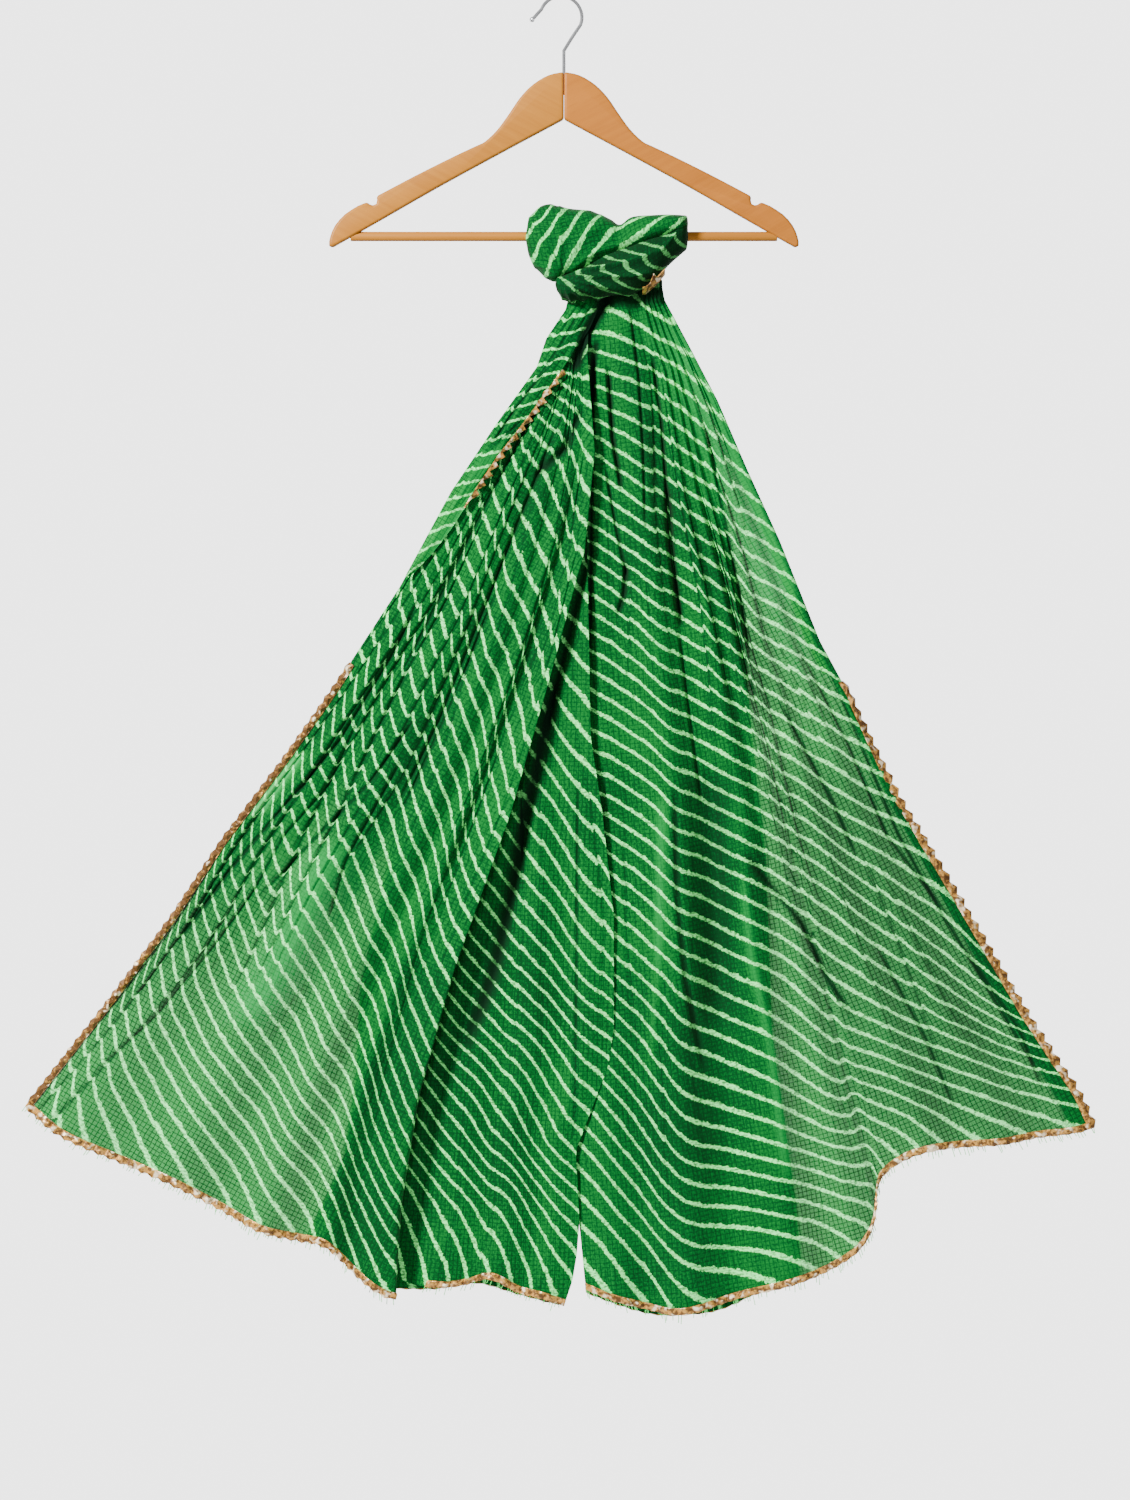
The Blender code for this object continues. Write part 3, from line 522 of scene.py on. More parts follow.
def blend(points, position):
    """A value at a whole or part position along a row of values, on a smooth curve."""
    last = len(points) - 1
    index = min(int(position), last - 1)
    t = position - index
    a = points[max(index - 1, 0)]
    b = points[index]
    c = points[index + 1]
    d = points[min(index + 2, last)]
    return 0.5 * (2 * b + (c - a) * t + (2 * a - 5 * b + 4 * c - d) * t**2 + (3 * b - a - 3 * c + d) * t**3)


def ease(value):
    """A soft step from 0 to 1."""
    value = min(max(value, 0), 1)
    return value * value * (3 - 2 * value)


def straight_x(ray, drop):
    """The X of a ray's straight line from its neck to its hem."""
    start, end = ray.neck_x, ray.hem_x
    if ray.name in EDGES:
        start, end = read_edge(ray.name, NECK_Z), read_edge(ray.name, ray.hem_z)
    return start + (end - start) * drop


def ray_z(ray, drop):
    """The height of a ray, with drop 0 at the neck and 1 at the hem."""
    return NECK_Z + (ray.hem_z - NECK_Z) * drop


def ray_y(ray, drop):
    """The depth of a ray, on a parabola through its neck, middle and hem."""
    return (
        ray.y_neck * (1 - drop) * (1 - 2 * drop)
        + ray.y_middle * 4 * drop * (1 - drop)
        + ray.y_hem * drop * (2 * drop - 1)
    )


def bend(ray, drop):
    """How far a named outline lies from its straight line."""
    return read_edge(ray.name, ray_z(ray, drop)) - straight_x(ray, drop)


def ray_points(rays, drop):
    """One point on each ray: those between two outlines take a share of each one's bend."""
    guides = [index for index, ray in enumerate(rays) if ray.name in EDGES]
    points = []
    for index, ray in enumerate(rays):
        before = max([guide for guide in guides if guide <= index])
        after = min([guide for guide in guides if guide >= index], default=before)
        share = (index - before) / (after - before) if after > before else 0
        offset = bend(rays[before], drop) * (1 - share) + bend(rays[after], drop) * share
        points.append(Vector((straight_x(ray, drop) + offset, ray_y(ray, drop), ray_z(ray, drop))))
    return points


def read_table(table, across, drop):
    """A value of a small table, on smooth curves both ways."""
    down = [blend(column, drop * (len(table) - 1)) for column in zip(*table)]
    return blend(down, across * (len(down) - 1))


def pleat_at(panel, position, drop):
    """Where a point lies across its small pleat, from 0 to 1, and how strongly that pleat is pressed."""
    last = len(panel.rays) - 1
    sway = 1.1 * noise.noise(Vector((position * 0.7, drop * 2.4, panel.seed + 2)))
    place = max(position + sway, 0) / last
    phase = place**panel.crowd * last * panel.pleats
    index = math.floor(phase)
    life = 0.2 + 2.6 * noise.noise(Vector((index * 1.37, drop * 4.4, panel.seed + 9)))
    strength = read_table(panel.gathers, position / last, drop) * ease(drop / 0.12) * ease(4 * position)
    life += 1.5 * max(strength - 0.85, 0)
    return phase - index, strength * min(max(life, 0.05), 1.2)


def crinkle(panel, position, drop):
    """The height of the small gathers that run down the cloth, in crinkle depths."""
    across, strength = pleat_at(panel, position, drop)
    step = ease(across / 0.78) * ease((1 - across) / 0.2)
    fine = 0.5 - 2 * abs(noise.noise(Vector((position * 5, drop * 5, panel.seed))))
    broad = noise.noise(Vector((position * 0.9, drop * 2.2, panel.seed + 5)))
    return (step - 0.5) * strength + 0.22 * fine * strength + 0.6 * broad * ease(drop / 0.2)


def nearness(crease, x, z):
    """How near a place is to a fold's line: 1 on it and 0 away from it."""
    (first_x, top), (last_x, foot) = crease.spots[0], crease.spots[-1]
    reach = 3 * crease.width
    if not foot - reach < z < top + reach:
        return 0.0
    if not min(first_x, last_x) - reach - 20 < x < max(first_x, last_x) + reach + 20:
        return 0.0
    nearest = 1e9
    for (x0, z0), (x1, z1) in zip(crease.spots, crease.spots[1:]):
        run = Vector((x1 - x0, z1 - z0))
        away = Vector((x - x0, z - z0))
        share = min(max(away.dot(run) / run.length_squared, 0), 1)
        nearest = min(nearest, (away - run * share).length)
    if nearest > reach:
        return 0.0
    middle = (top - z) / (top - foot)
    fade = ease(5 * middle + 0.4) * ease(5 * (1 - middle) + 0.4)
    return math.exp(-((nearest / crease.width) ** 2)) * fade


def press(creases, x, z):
    """How far the listed folds push a place back, and how much shade they paint on it; a dark below 0 paints
    highlight.
    """
    depth = 0.0
    dark = 0.0
    for crease in creases:
        near = nearness(crease, x, z)
        depth += crease.depth * near
        dark += crease.dark * near
    return depth, dark


def sheet_rows(panel):
    """Rows of points down a panel, in millimetres, with each one's stripe shift and the shade painted on it.
    """
    depth = bpy.context.scene.stole_sizes.crinkle_depth / MM
    last = len(panel.rays) - 1
    rows, shifts, darks = [], [], []
    for row in range(panel.rows + 1):
        drop = (row / panel.rows) ** ROW_POWER
        spots = ray_points(panel.rays, drop)
        line, shift_line, dark_line = [], [], []
        for column in range(panel.columns + 1):
            position = column / panel.columns * last
            point = blend(spots, position)
            height = crinkle(panel, position, drop) * depth
            pressed, dark = press(panel.creases, point.x, point.z)
            across, strength = pleat_at(panel, position, drop)
            # Painted shade: a narrow dark band along each pleat's groove
            painted_groove_shade = math.exp(-((min(across + 0.02, 1 - across) / 0.08) ** 2)) * min(strength * 1.5, 1)
            point.y += pressed - height
            line.append(point)
            shift_line.append((across - 0.5) * strength * PLEAT_JUMP + height * 0.06)
            # Painted shadow under the hitch, added to the creases' painted shade and the grooves'
            painted_hitch_shadow = 1 - ease((drop - 0.022) / 0.016)
            dark_line.append(dark + 0.5 * painted_groove_shade + 0.8 * painted_hitch_shadow)
        rows.append(line)
        shifts.append(shift_line)
        darks.append(dark_line)
    return rows, shifts, darks


def slack_of(line):
    """How much further the cloth runs than its front view along a row, less its even share."""
    total = [0.0]
    for start, end in zip(line, line[1:]):
        step = end - start
        total.append(total[-1] + step.length - math.hypot(step.x, step.z))
    last = len(total) - 1
    return [value - total[-1] * index / last for index, value in enumerate(total)]


def add_object(name, data):
    """A new object in the scene."""
    piece = bpy.data.objects.new(name, data)
    bpy.context.scene.collection.objects.link(piece)
    return piece


def new_piece(name, form, material, smooth=True):
    """Turns a bmesh in millimetres into a piece that rides on the hanger."""
    bmesh.ops.scale(form, vec=(MM, MM, MM), verts=form.verts)
    mesh = bpy.data.meshes.new(name)
    form.to_mesh(mesh)
    form.free()
    for face in mesh.polygons:
        face.use_smooth = smooth
    mesh.materials.append(material)
    piece = add_object(name, mesh)
    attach(piece, "root")
    return piece


def new_grid(columns, rows):
    """A square grid, and its maps for the weave, the stripes, and the painted shade and cover of the folds.
    """
    form = bmesh.new()
    bmesh.ops.create_grid(form, x_segments=columns, y_segments=rows, size=0.5)
    return form, [form.loops.layers.uv.new(name) for name in ("Cloth", "Dye", "Fold")]


def weave_spot(across, down, turn):
    """A place on the weave's map, with the weave turned by an angle."""
    x = across * math.cos(turn) + down * math.sin(turn)
    y = across * math.sin(turn) - down * math.cos(turn)
    return x, y


def lay_sheet(panel, material):
    """A fine sheet through a panel's rows, with its weave and dye maps."""
    rows, shifts, darks = sheet_rows(panel)
    slack = [slack_of(line) for line in rows]
    form, (cloth_map, dye_map, shade_and_cover_map) = new_grid(panel.columns, panel.rows)
    cells = {}
    stripes = {}
    folds = {}
    for point in form.verts:
        column = round((point.co.x + 0.5) * panel.columns)
        row = round((0.5 - point.co.y) * panel.rows)
        drop = (row / panel.rows) ** ROW_POWER
        count = read_table(panel.dye, column / panel.columns, drop)
        cells[point] = (row, column)
        dark = darks[row][column]
        uneven = 0.10 * noise.noise(Vector((column * 0.05, drop * 7, panel.seed + 4)))
        gathered = 1 - ease((drop + uneven - panel.sheer_from + 0.16) / 0.32)
        inside = (1 - column / panel.columns) * (len(panel.rays) - 1)
        gathered = max(gathered, ease(5 * (panel.turned_in - inside)))
        if panel.backing:
            spot = rows[row][column]
            outline, side = panel.backing
            gathered = max(gathered, ease(0.5 + side * (read_edge(outline, spot.z) - spot.x) / 8))
        stripes[point] = (count - shifts[row][column], 0.0)
        # The Fold map holds the painted shade and how many layers lie there; painted shade also makes the
        # cloth more opaque
        folds[point] = (dark, min(gathered + 1.6 * max(dark, 0), 1))
    first_lay, last_lay = panel.lay
    for face in form.faces:
        column = sum(cells[point][1] for point in face.verts) / 4
        patch = min(int(column / panel.columns * WEAVE_PATCHES), WEAVE_PATCHES - 1)
        turn = math.radians(first_lay + (last_lay - first_lay) * (patch + 0.5) / WEAVE_PATCHES)
        for loop in face.loops:
            row, column = cells[loop.vert]
            spot = rows[row][column]
            across, down = weave_spot(spot.x, spot.z, turn)
            loop[cloth_map].uv = ((across + slack[row][column]) * MM, down * MM)
            loop[dye_map].uv = stripes[loop.vert]
            loop[shade_and_cover_map].uv = folds[loop.vert]
    for point in form.verts:
        row, column = cells[point]
        point.co = rows[row][column]
    bmesh.ops.recalc_face_normals(form, faces=form.faces)
    return new_piece(panel.name, form, material), rows


def grid_normal(rows, row, column):
    """The direction that a sheet's front faces at one of its points."""
    down = rows[min(row + 1, len(rows) - 1)][column] - rows[max(row - 1, 0)][column]
    across = rows[row][min(column + 1, len(rows[row]) - 1)] - rows[row][max(column - 1, 0)]
    normal = down.cross(across).normalized()
    return normal if normal.y < 0 else -normal


def edge_line(rows, side, reach=2):
    """Points of one side of a sheet, each with the direction inwards and the front's direction."""
    last_row = len(rows) - 1
    last_column = len(rows[0]) - 1
    if side == "hem":
        cells = [((last_row, column), (last_row - reach, column)) for column in range(last_column + 1)]
    elif side == "left":
        cells = [((row, 0), (row, reach)) for row in range(last_row + 1)]
    else:
        cells = [((row, last_column), (row, last_column - reach)) for row in range(last_row + 1)]
    line = []
    for (row, column), (inner_row, inner_column) in cells:
        point = rows[row][column]
        inward = (rows[inner_row][inner_column] - point).normalized()
        line.append((point, inward, grid_normal(rows, row, column)))
    return line


def even_line(line, pitch):
    """The line read again at an even pitch."""
    lengths = [0.0]
    for (start, _, _), (end, _, _) in zip(line, line[1:]):
        lengths.append(lengths[-1] + (end - start).length)
    count = max(round(lengths[-1] / pitch), 2)
    found = []
    index = 0
    for step in range(count + 1):
        along = lengths[-1] * step / count
        while index < len(line) - 2 and lengths[index + 1] < along:
            index += 1
        share = (along - lengths[index]) / (lengths[index + 1] - lengths[index])
        found.append([first.lerp(second, share) for first, second in zip(line[index], line[index + 1])])
    return found


def lay_tape(name, line, material, pitch, band, reach, face):
    """Gold tape along an edge: a puckered band, and folded points over and past it."""
    spots = even_line(line, pitch / TOOTH_STEPS)
    last = len(spots) - 1
    form = bmesh.new()
    tape_map = form.loops.layers.uv.new("Cloth")
    bmesh.ops.create_grid(form, x_segments=last, y_segments=BAND_STEPS, size=0.5)
    for point in form.verts:
        along = round((point.co.x + 0.5) * last)
        share = 0.5 - point.co.y
        spot, inward, normal = spots[along]
        pucker = 0.9 * noise.noise(Vector((along * 0.45, share * 2, 3)))
        lift = TAPE_LIFT + 0.3 * math.sin(math.pi * share) + pucker
        point.co = spot + inward * (band - share * (band + 0.5)) + normal * lift * face
    for first in range(0, last + 1 - TOOTH_STEPS, TOOTH_STEPS):
        start, start_in, start_out = spots[first]
        end, end_in, end_out = spots[first + TOOTH_STEPS]
        middle, inward, normal = spots[first + TOOTH_STEPS // 2]
        sway = 1 + 0.25 * noise.noise(Vector((first * 0.31, 7, 1)))
        a, b, c, d, e, top = [
            form.verts.new(place)
            for place in (
                start + start_in * (band - 0.4) + start_out * TOOTH_LIFT * face,
                start - start_in * 0.5 + start_out * TOOTH_LIFT * face,
                middle - inward * reach * sway + normal * (TOOTH_LIFT - 0.2) * face,
                end - end_in * 0.5 + end_out * TOOTH_LIFT * face,
                end + end_in * (band - 0.4) + end_out * TOOTH_LIFT * face,
                middle + inward * band * 0.45 + normal * (TOOTH_LIFT + 3.0 * sway) * face,
            )
        ]
        for sides in ((a, b, top), (b, c, top), (c, d, top), (d, e, top), (e, a, top)):
            form.faces.new(sides)
        form.faces.new((e, d, c, b, a))
    bmesh.ops.recalc_face_normals(form, faces=form.faces)
    for tape_face in form.faces:
        for loop in tape_face.loops:
            loop[tape_map].uv = (loop.vert.co.x * MM, loop.vert.co.z * MM)
    return new_piece(name, form, material, smooth=False)


def lay_fray(name, lines, material):
    """Short loose threads under the hems."""
    # The noise vector changes from run to run unless it is seeded
    noise.seed_set(THREAD_SEED)
    form = bmesh.new()
    for seed, line in enumerate(lines):
        for index, (spot, inward, normal) in enumerate(even_line(line, THREAD_SPACING)):
            pull = noise.noise_vector(Vector((index * 1.7, seed * 9.1, 2)))
            if pull.x < -0.12:
                continue
            length = 4 + 9 * abs(pull.y)
            side = Vector((-inward.z, 0, inward.x)) * THREAD_WIDTH
            lift = normal * THREAD_LIFT
            foot = spot - inward * length + Vector((pull.z * 4, 0, pull.x * 1.5)) + lift
            root = spot + inward * 1.5 + lift
            form.faces.new(
                [form.verts.new(place) for place in (root - side, root + side, foot + side, foot - side)]
            )
    bmesh.ops.solidify(form, geom=form.faces[:], thickness=0.25)
    bmesh.ops.recalc_face_normals(form, faces=form.faces)
    return new_piece(name, form, material, smooth=False)


def ring_point(ring, angle, lift=0.0):
    """A point around a ring of the hitch, from its back over its top, lifted off its surface."""
    across = math.copysign(abs(math.cos(angle)) ** (2 / KNOT_POWER), math.cos(angle))
    up = math.copysign(abs(math.sin(angle)) ** (2 / KNOT_POWER), math.sin(angle))
    y = (ring.front + ring.back) / 2 + across * ((ring.back - ring.front) / 2 + lift)
    z = (ring.top + ring.bottom) / 2 + up * ((ring.top - ring.bottom) / 2 + lift)
    return Vector((ring.x, y, z))


def ring_along(rings, position):
    """The ring at a whole or part position of a row of rings, on smooth curves."""
    return Ring(*[blend(values, position) for values in zip(*rings)])


def pleat(spot, count, depth, seed):
    """How far a gather of the hitch stands out: gathers run together where the falls leave it."""
    x = spot.x - PLEATS_MEET[0]
    z = spot.z - PLEATS_MEET[1]
    angle = math.atan2(z, x)
    near = ease(math.hypot(x, z) / 30)
    wander = 0.5 * noise.noise(Vector((x * 0.03, z * 0.03, seed)))
    wave = abs(math.sin(angle * count + wander * 3))
    return (1 - 2 * wave**0.7) * depth * near


def loop_dye(x, z):
    """How many stripes lie before a place on the loop: they fan from where it laps over the wrap."""
    turn = math.radians(62 - 19 * ease((x - 15) / 70))
    bow = 0.011 * min(max((14 - x) / 40, 0), 1) * min(abs(z + 238), 34) ** 2
    return (x - 14 - bow) * math.sin(turn) - (z + 238) * math.cos(turn)


def wrap_dye(x, z):
    """How many stripes lie before a place on the wrap."""
    turn = math.radians(39 + 8 * ease((30 - x) / 30))
    return -((x - 20) * math.sin(turn) + (z + 262) * math.cos(turn))


# Each roll's node, rings, gathers and their depth, turn of the weave, dye, painted shade, tuck and seed
ROLLS = tuple(Roll(*row) for row in (
    ("hitch_loop", "knot_loop", KNOT_LOOP, 6, 1.3, -77, loop_dye, 0.05, 9.0, 1.0),
    ("hitch_wrap", "knot_wrap", KNOT_WRAP, 11, 2.2, 5, wrap_dye, 0.5, 0.0, 2.0),
    ("hitch_band", "knot_back", KNOT_BACK, 9, 1.2, 60, wrap_dye, 0.4, 0.0, 3.0),
))


def end_ring(ring, past):
    """A ring of no height or depth that closes a roll, a little past its last ring."""
    height = (ring.top + ring.bottom) / 2
    depth = (ring.front + ring.back) / 2
    return Ring(ring.x + past, height, height, depth, depth)


def turn_angle(step):
    """The angle around a roll at one of its steps."""
    return math.radians(START_ANGLE) - 2 * math.pi * step / ROLL_TURNS


def lay_roll(roll, material):
    """A rounded roll of gathered cloth through rings across it, with its foot tucked in by its neighbour."""
    pitch = bpy.context.scene.stole_sizes.stripe_pitch / MM
    turn = math.radians(roll.turn)
    rings = [ring._replace(bottom=ring.bottom - roll.tuck * ease((ring.x - 2) / 14)) for ring in roll.rings]
    rings = [end_ring(rings[0], -1.5)] + rings + [end_ring(rings[-1], 1.2)]
    form, (cloth_map, dye_map, shade_and_cover_map) = new_grid(ROLL_COLUMNS, ROLL_TURNS)
    front_step = round(ROLL_TURNS * (START_ANGLE + 180) / 360)
    places = {}
    maps = {}
    for column in range(ROLL_COLUMNS + 1):
        ring = ring_along(rings, column / ROLL_COLUMNS * (len(rings) - 1))
        line = [ring_point(ring, turn_angle(step)) for step in range(ROLL_TURNS + 1)]
        lengths = [0.0]
        for start, end in zip(line, line[1:]):
            lengths.append(lengths[-1] + (end - start).length)
        size = ease((ring.top - ring.bottom) / 30)
        for step, spot in enumerate(line):
            lift = pleat(spot, roll.count, roll.depth, roll.seed) * size
            places[column, step] = ring_point(ring, turn_angle(step % ROLL_TURNS), lift)
            up = lengths[step] - lengths[front_step]
            # Painted shade: the roll's own shade, a dark line where the loop laps over the wrap, and darker
            # hollows between its gathers
            shade = roll.dark + press(LAP, spot.x, spot.z)[1] + 0.05 * (roll.depth - lift) * size
            maps[column, step] = (spot.x, up, up + (ring.top + ring.bottom) / 2, shade, lift)
    for face in form.faces:
        for loop in face.loops:
            column = round((loop.vert.co.x + 0.5) * ROLL_COLUMNS)
            step = round((loop.vert.co.y + 0.5) * ROLL_TURNS)
            x, up, z, shade, lift = maps[column, step]
            across, down = weave_spot(x, up, turn)
            loop[cloth_map].uv = (across * MM, down * MM)
            loop[dye_map].uv = (roll.dye(x, z) / pitch + 0.06 * lift, 0.0)
            loop[shade_and_cover_map].uv = (shade, 1.0)
    for point in form.verts:
        column = round((point.co.x + 0.5) * ROLL_COLUMNS)
        step = round((point.co.y + 0.5) * ROLL_TURNS)
        point.co = places[column, step]
    bmesh.ops.remove_doubles(form, verts=form.verts, dist=0.0005)
    bmesh.ops.recalc_face_normals(form, faces=form.faces)
    return new_piece(roll.name, form, material)


def add_node(tree, kind, inputs=None, **settings):
    """A shader node, with its settings and with values or links on its inputs."""
    node = tree.nodes.new(kind)
    for key, value in settings.items():
        setattr(node, key, value)
    for key, value in (inputs or {}).items():
        if isinstance(value, bpy.types.NodeSocket):
            tree.links.new(value, node.inputs[key])
        else:
            node.inputs[key].default_value = value
    return node


def work_out(tree, operation, *values, clamp=False):
    """The output of one Math node."""
    inputs = dict(enumerate(values))
    return add_node(tree, "ShaderNodeMath", inputs, operation=operation, use_clamp=clamp).outputs[0]


def scaled(tree, value, by, plus, clamp=False):
    """A value times a number, plus a number or another value."""
    return work_out(tree, "MULTIPLY_ADD", value, by, plus, clamp=clamp)


def swing(tree, value, by, plus):
    """A noise value about its middle, times a number, plus a number or another value."""
    return scaled(tree, work_out(tree, "SUBTRACT", value, 0.5), by, plus)


def mix_colours(tree, share, first, second):
    """The output of a colour mix."""
    node = add_node(tree, "ShaderNodeMix", data_type="RGBA")
    for socket, value in zip((node.inputs[0], node.inputs[6], node.inputs[7]), (share, first, second)):
        if isinstance(value, bpy.types.NodeSocket):
            tree.links.new(value, socket)
        else:
            socket.default_value = (*value, 1)
    return node.outputs[2]


def noise_of(tree, place, scale, stretch=(1, 1, 1), detail=2.0):
    """A noise value from 0 to 1 on stretched coordinates."""
    mapped = add_node(tree, "ShaderNodeMapping", {"Vector": place, "Scale": stretch}).outputs[0]
    inputs = {"Vector": mapped, "Scale": scale, "Detail": detail}
    return add_node(tree, "ShaderNodeTexNoise", inputs).outputs[0]


def thread_lines(tree, coordinate, pitch, sharp):
    """Raised lines at an even pitch across a coordinate: 1 on a thread and 0 between."""
    turns = work_out(tree, "MULTIPLY", coordinate, 2 * math.pi / pitch)
    wave = scaled(tree, work_out(tree, "COSINE", turns), 0.5, 0.5)
    return work_out(tree, "POWER", wave, sharp)


def threads_both_ways(tree, operation, across, down, pitch, sharp):
    """Raised lines along and across the weave, joined by one Math node."""
    return work_out(tree, operation, *[thread_lines(tree, way, pitch, sharp) for way in (across, down)])


def new_material(name, settings):
    """A node material, its shader with some settings, and the place on the object."""
    material = bpy.data.materials.new(name)
    material.use_nodes = True
    tree = material.node_tree
    shader = tree.nodes["Principled BSDF"]
    for key, value in settings.items():
        shader.inputs[key].default_value = value
    return material, tree, shader, add_node(tree, "ShaderNodeTexCoord").outputs["Object"]


def add_bump(tree, shader, height, strength, distance):
    """Fine relief on a shader's surface."""
    inputs = {"Height": height, "Strength": strength, "Distance": distance}
    bump = add_node(tree, "ShaderNodeBump", inputs)
    tree.links.new(bump.outputs[0], shader.inputs["Normal"])


def cloth_material(name, cover, wide):
    """Sheer checked cloth with pale stripes: cover is how much its threads hide, wide scales the stripes."""
    sizes = bpy.context.scene.stole_sizes
    colours = bpy.context.scene.stole_colours
    material, tree, shader, place = new_material(
        name, {"Roughness": 0.8, "Specular IOR Level": 0.06, "Sheen Weight": 0.03, "Sheen Roughness": 0.5}
    )
    cloth, dye, fold = [
        add_node(tree, "ShaderNodeUVMap", uv_map=uv_map).outputs[0] for uv_map in ("Cloth", "Dye", "Fold")
    ]
    across, down = add_node(tree, "ShaderNodeSeparateXYZ", {0: cloth}).outputs[:2]
    count = add_node(tree, "ShaderNodeSeparateXYZ", {0: dye}).outputs[0]
    dark, gathered = add_node(tree, "ShaderNodeSeparateXYZ", {0: fold}).outputs[:2]
    slow = noise_of(tree, place, 16, detail=1)
    quick = noise_of(tree, place, 130)
    fibres = noise_of(tree, cloth, 1, (260, 520, 1))
    speckle = noise_of(tree, cloth, 1, (560, 380, 1))
    streak = noise_of(tree, cloth, 1, (700, 26, 1))
    wander = scaled(tree, quick, 0.16, scaled(tree, slow, 0.30, count))
    part = work_out(tree, "SUBTRACT", work_out(tree, "FRACT", wander), 0.26)
    away = work_out(tree, "ABSOLUTE", work_out(tree, "WRAP", part, 0.5, -0.5))
    half = sizes.stripe_width / sizes.stripe_pitch / 2 * wide
    ragged = swing(tree, quick, 0.12, swing(tree, speckle, 0.22, half))
    stripe = work_out(tree, "DIVIDE", work_out(tree, "SUBTRACT", ragged, away), 0.04, clamp=True)
    grey = scaled(tree, scaled(tree, fibres, -5.0, 3.25, clamp=True), 0.8, 0.2)
    stripe = work_out(tree, "MULTIPLY", stripe, grey)
    check = threads_both_ways(tree, "MAXIMUM", across, down, sizes.check_pitch, 9.0)
    fine = threads_both_ways(tree, "ADD", across, down, sizes.thread_pitch, 1.0)
    tone = scaled(tree, noise_of(tree, place, 9, detail=3), 1.6, -0.45, clamp=True)
    tone = scaled(tree, check, 0.6, swing(tree, streak, 1.2, tone))
    # Painted shade from the Fold map also pushes the tone towards the darker green
    tone = scaled(tree, dark, 0.9, swing(tree, speckle, 2.4, tone), clamp=True)
    ground = mix_colours(tree, tone, colours.green, colours.dye_and_shade_green)
    thin = work_out(tree, "SUBTRACT", 1.0, gathered, clamp=True)
    lit_through = work_out(tree, "MULTIPLY", scaled(tree, check, -1.1, 0.8, clamp=True), thin)
    ground = mix_colours(tree, lit_through, ground, colours.thin_green)
    # Painted highlight where the Fold map's dark is below 0: lit green, and towards the stripe colour where
    # it is strongest
    shine = work_out(tree, "MULTIPLY", dark, -1.1, clamp=True)
    ground = mix_colours(tree, shine, ground, colours.lit_green)
    colour = mix_colours(tree, stripe, ground, colours.stripe)
    pale = scaled(tree, dark, -0.9, -0.35, clamp=True)
    colour = mix_colours(tree, pale, colour, colours.stripe)
    # Painted shade: creases, pleat grooves, the cloth under the hitch and the hitch's wrap go towards
    # near-black green
    shadow = work_out(tree, "MULTIPLY", dark, 0.96, clamp=True)
    colour = mix_colours(tree, shadow, colour, colours.painted_shade_green)
    tree.links.new(colour, shader.inputs["Base Color"])
    if cover < 1:
        open_weave = swing(tree, speckle, -3.0, scaled(tree, check, -1.2, 1.3))
        open_weave = work_out(tree, "MAXIMUM", scaled(tree, stripe, 2.2, open_weave), 0.0)
        open_weave = work_out(tree, "MULTIPLY", open_weave, thin)
        tree.links.new(scaled(tree, open_weave, cover - 1, 1.0, clamp=True), shader.inputs["Alpha"])
    add_bump(tree, shader, scaled(tree, fine, 0.25, check), 0.35, 0.0004)
    return material


def tape_material(name, dullness):
    """Gold ribbon, with threads across it, painted glints, and darker patches along it that are partly
    tarnish and partly painted shade of its facets; the second argument sets how much it leans to the darker
    gold and how few glints it has.
    """
    colours = bpy.context.scene.stole_colours
    material, tree, shader, place = new_material(name, {"Metallic": 0.4})
    cloth = add_node(tree, "ShaderNodeUVMap", uv_map="Cloth").outputs[0]
    # Darker patches: partly tarnish, partly painted shade of the tape's facets
    tone = scaled(tree, noise_of(tree, place, 260), 6.0, dullness - 2.7, clamp=True)
    colour = mix_colours(tree, tone, colours.gold, colours.tarnish_and_shade_gold)
    # Painted glints: sparse pale patches in the base colour
    glint = scaled(tree, noise_of(tree, place, 150, detail=1), 9.0, -4.9 - dullness, clamp=True)
    colour = mix_colours(tree, glint, colour, colours.glint)
    tree.links.new(colour, shader.inputs["Base Color"])
    tree.links.new(scaled(tree, tone, 0.2, 0.35), shader.inputs["Roughness"])
    add_bump(tree, shader, noise_of(tree, cloth, 1, (1800, 900, 1), detail=1), 0.4, 0.0004)
    return material


def wood_material(name, colour, slope):
    """Varnished beech with its grain along an arm's slope."""
    material, tree, shader, place = new_material(
        name, {"Roughness": 0.5, "Specular IOR Level": 0.15, "Coat Weight": 0.05, "Coat Roughness": 0.3}
    )
    turn = (0, math.radians(slope), 0)
    turned = add_node(tree, "ShaderNodeMapping", {"Vector": place, "Rotation": turn}).outputs[0]
    grain = noise_of(tree, turned, 1, (14, 260, 260), detail=4)
    flecks = noise_of(tree, turned, 1, (90, 1400, 1400), detail=1)
    cloud = noise_of(tree, turned, 1, (5, 26, 26))
    tone = scaled(tree, grain, 1.1, scaled(tree, cloud, 0.9, -0.75), clamp=True)
    pale = [min(part * 1.12, 1) for part in colour]
    dark = [part * share for part, share in zip(colour, (0.80, 0.70, 0.58))]
    wood = mix_colours(tree, tone, pale, dark)
    fleck = work_out(tree, "MULTIPLY", scaled(tree, flecks, 5.0, -3.1, clamp=True), 0.22)
    wood = mix_colours(tree, fleck, wood, [part * 0.5 for part in colour])
    tree.links.new(wood, shader.inputs["Base Color"])
    add_bump(tree, shader, grain, 0.12, 0.0003)
    return material


def steel_material(name, colour):
    """Bright wire, faintly brushed."""
    material, tree, shader, place = new_material(name, {"Base Color": (*colour, 1), "Metallic": 1.0})
    tree.links.new(scaled(tree, noise_of(tree, place, 300), 0.16, 0.16), shader.inputs["Roughness"])
    return material


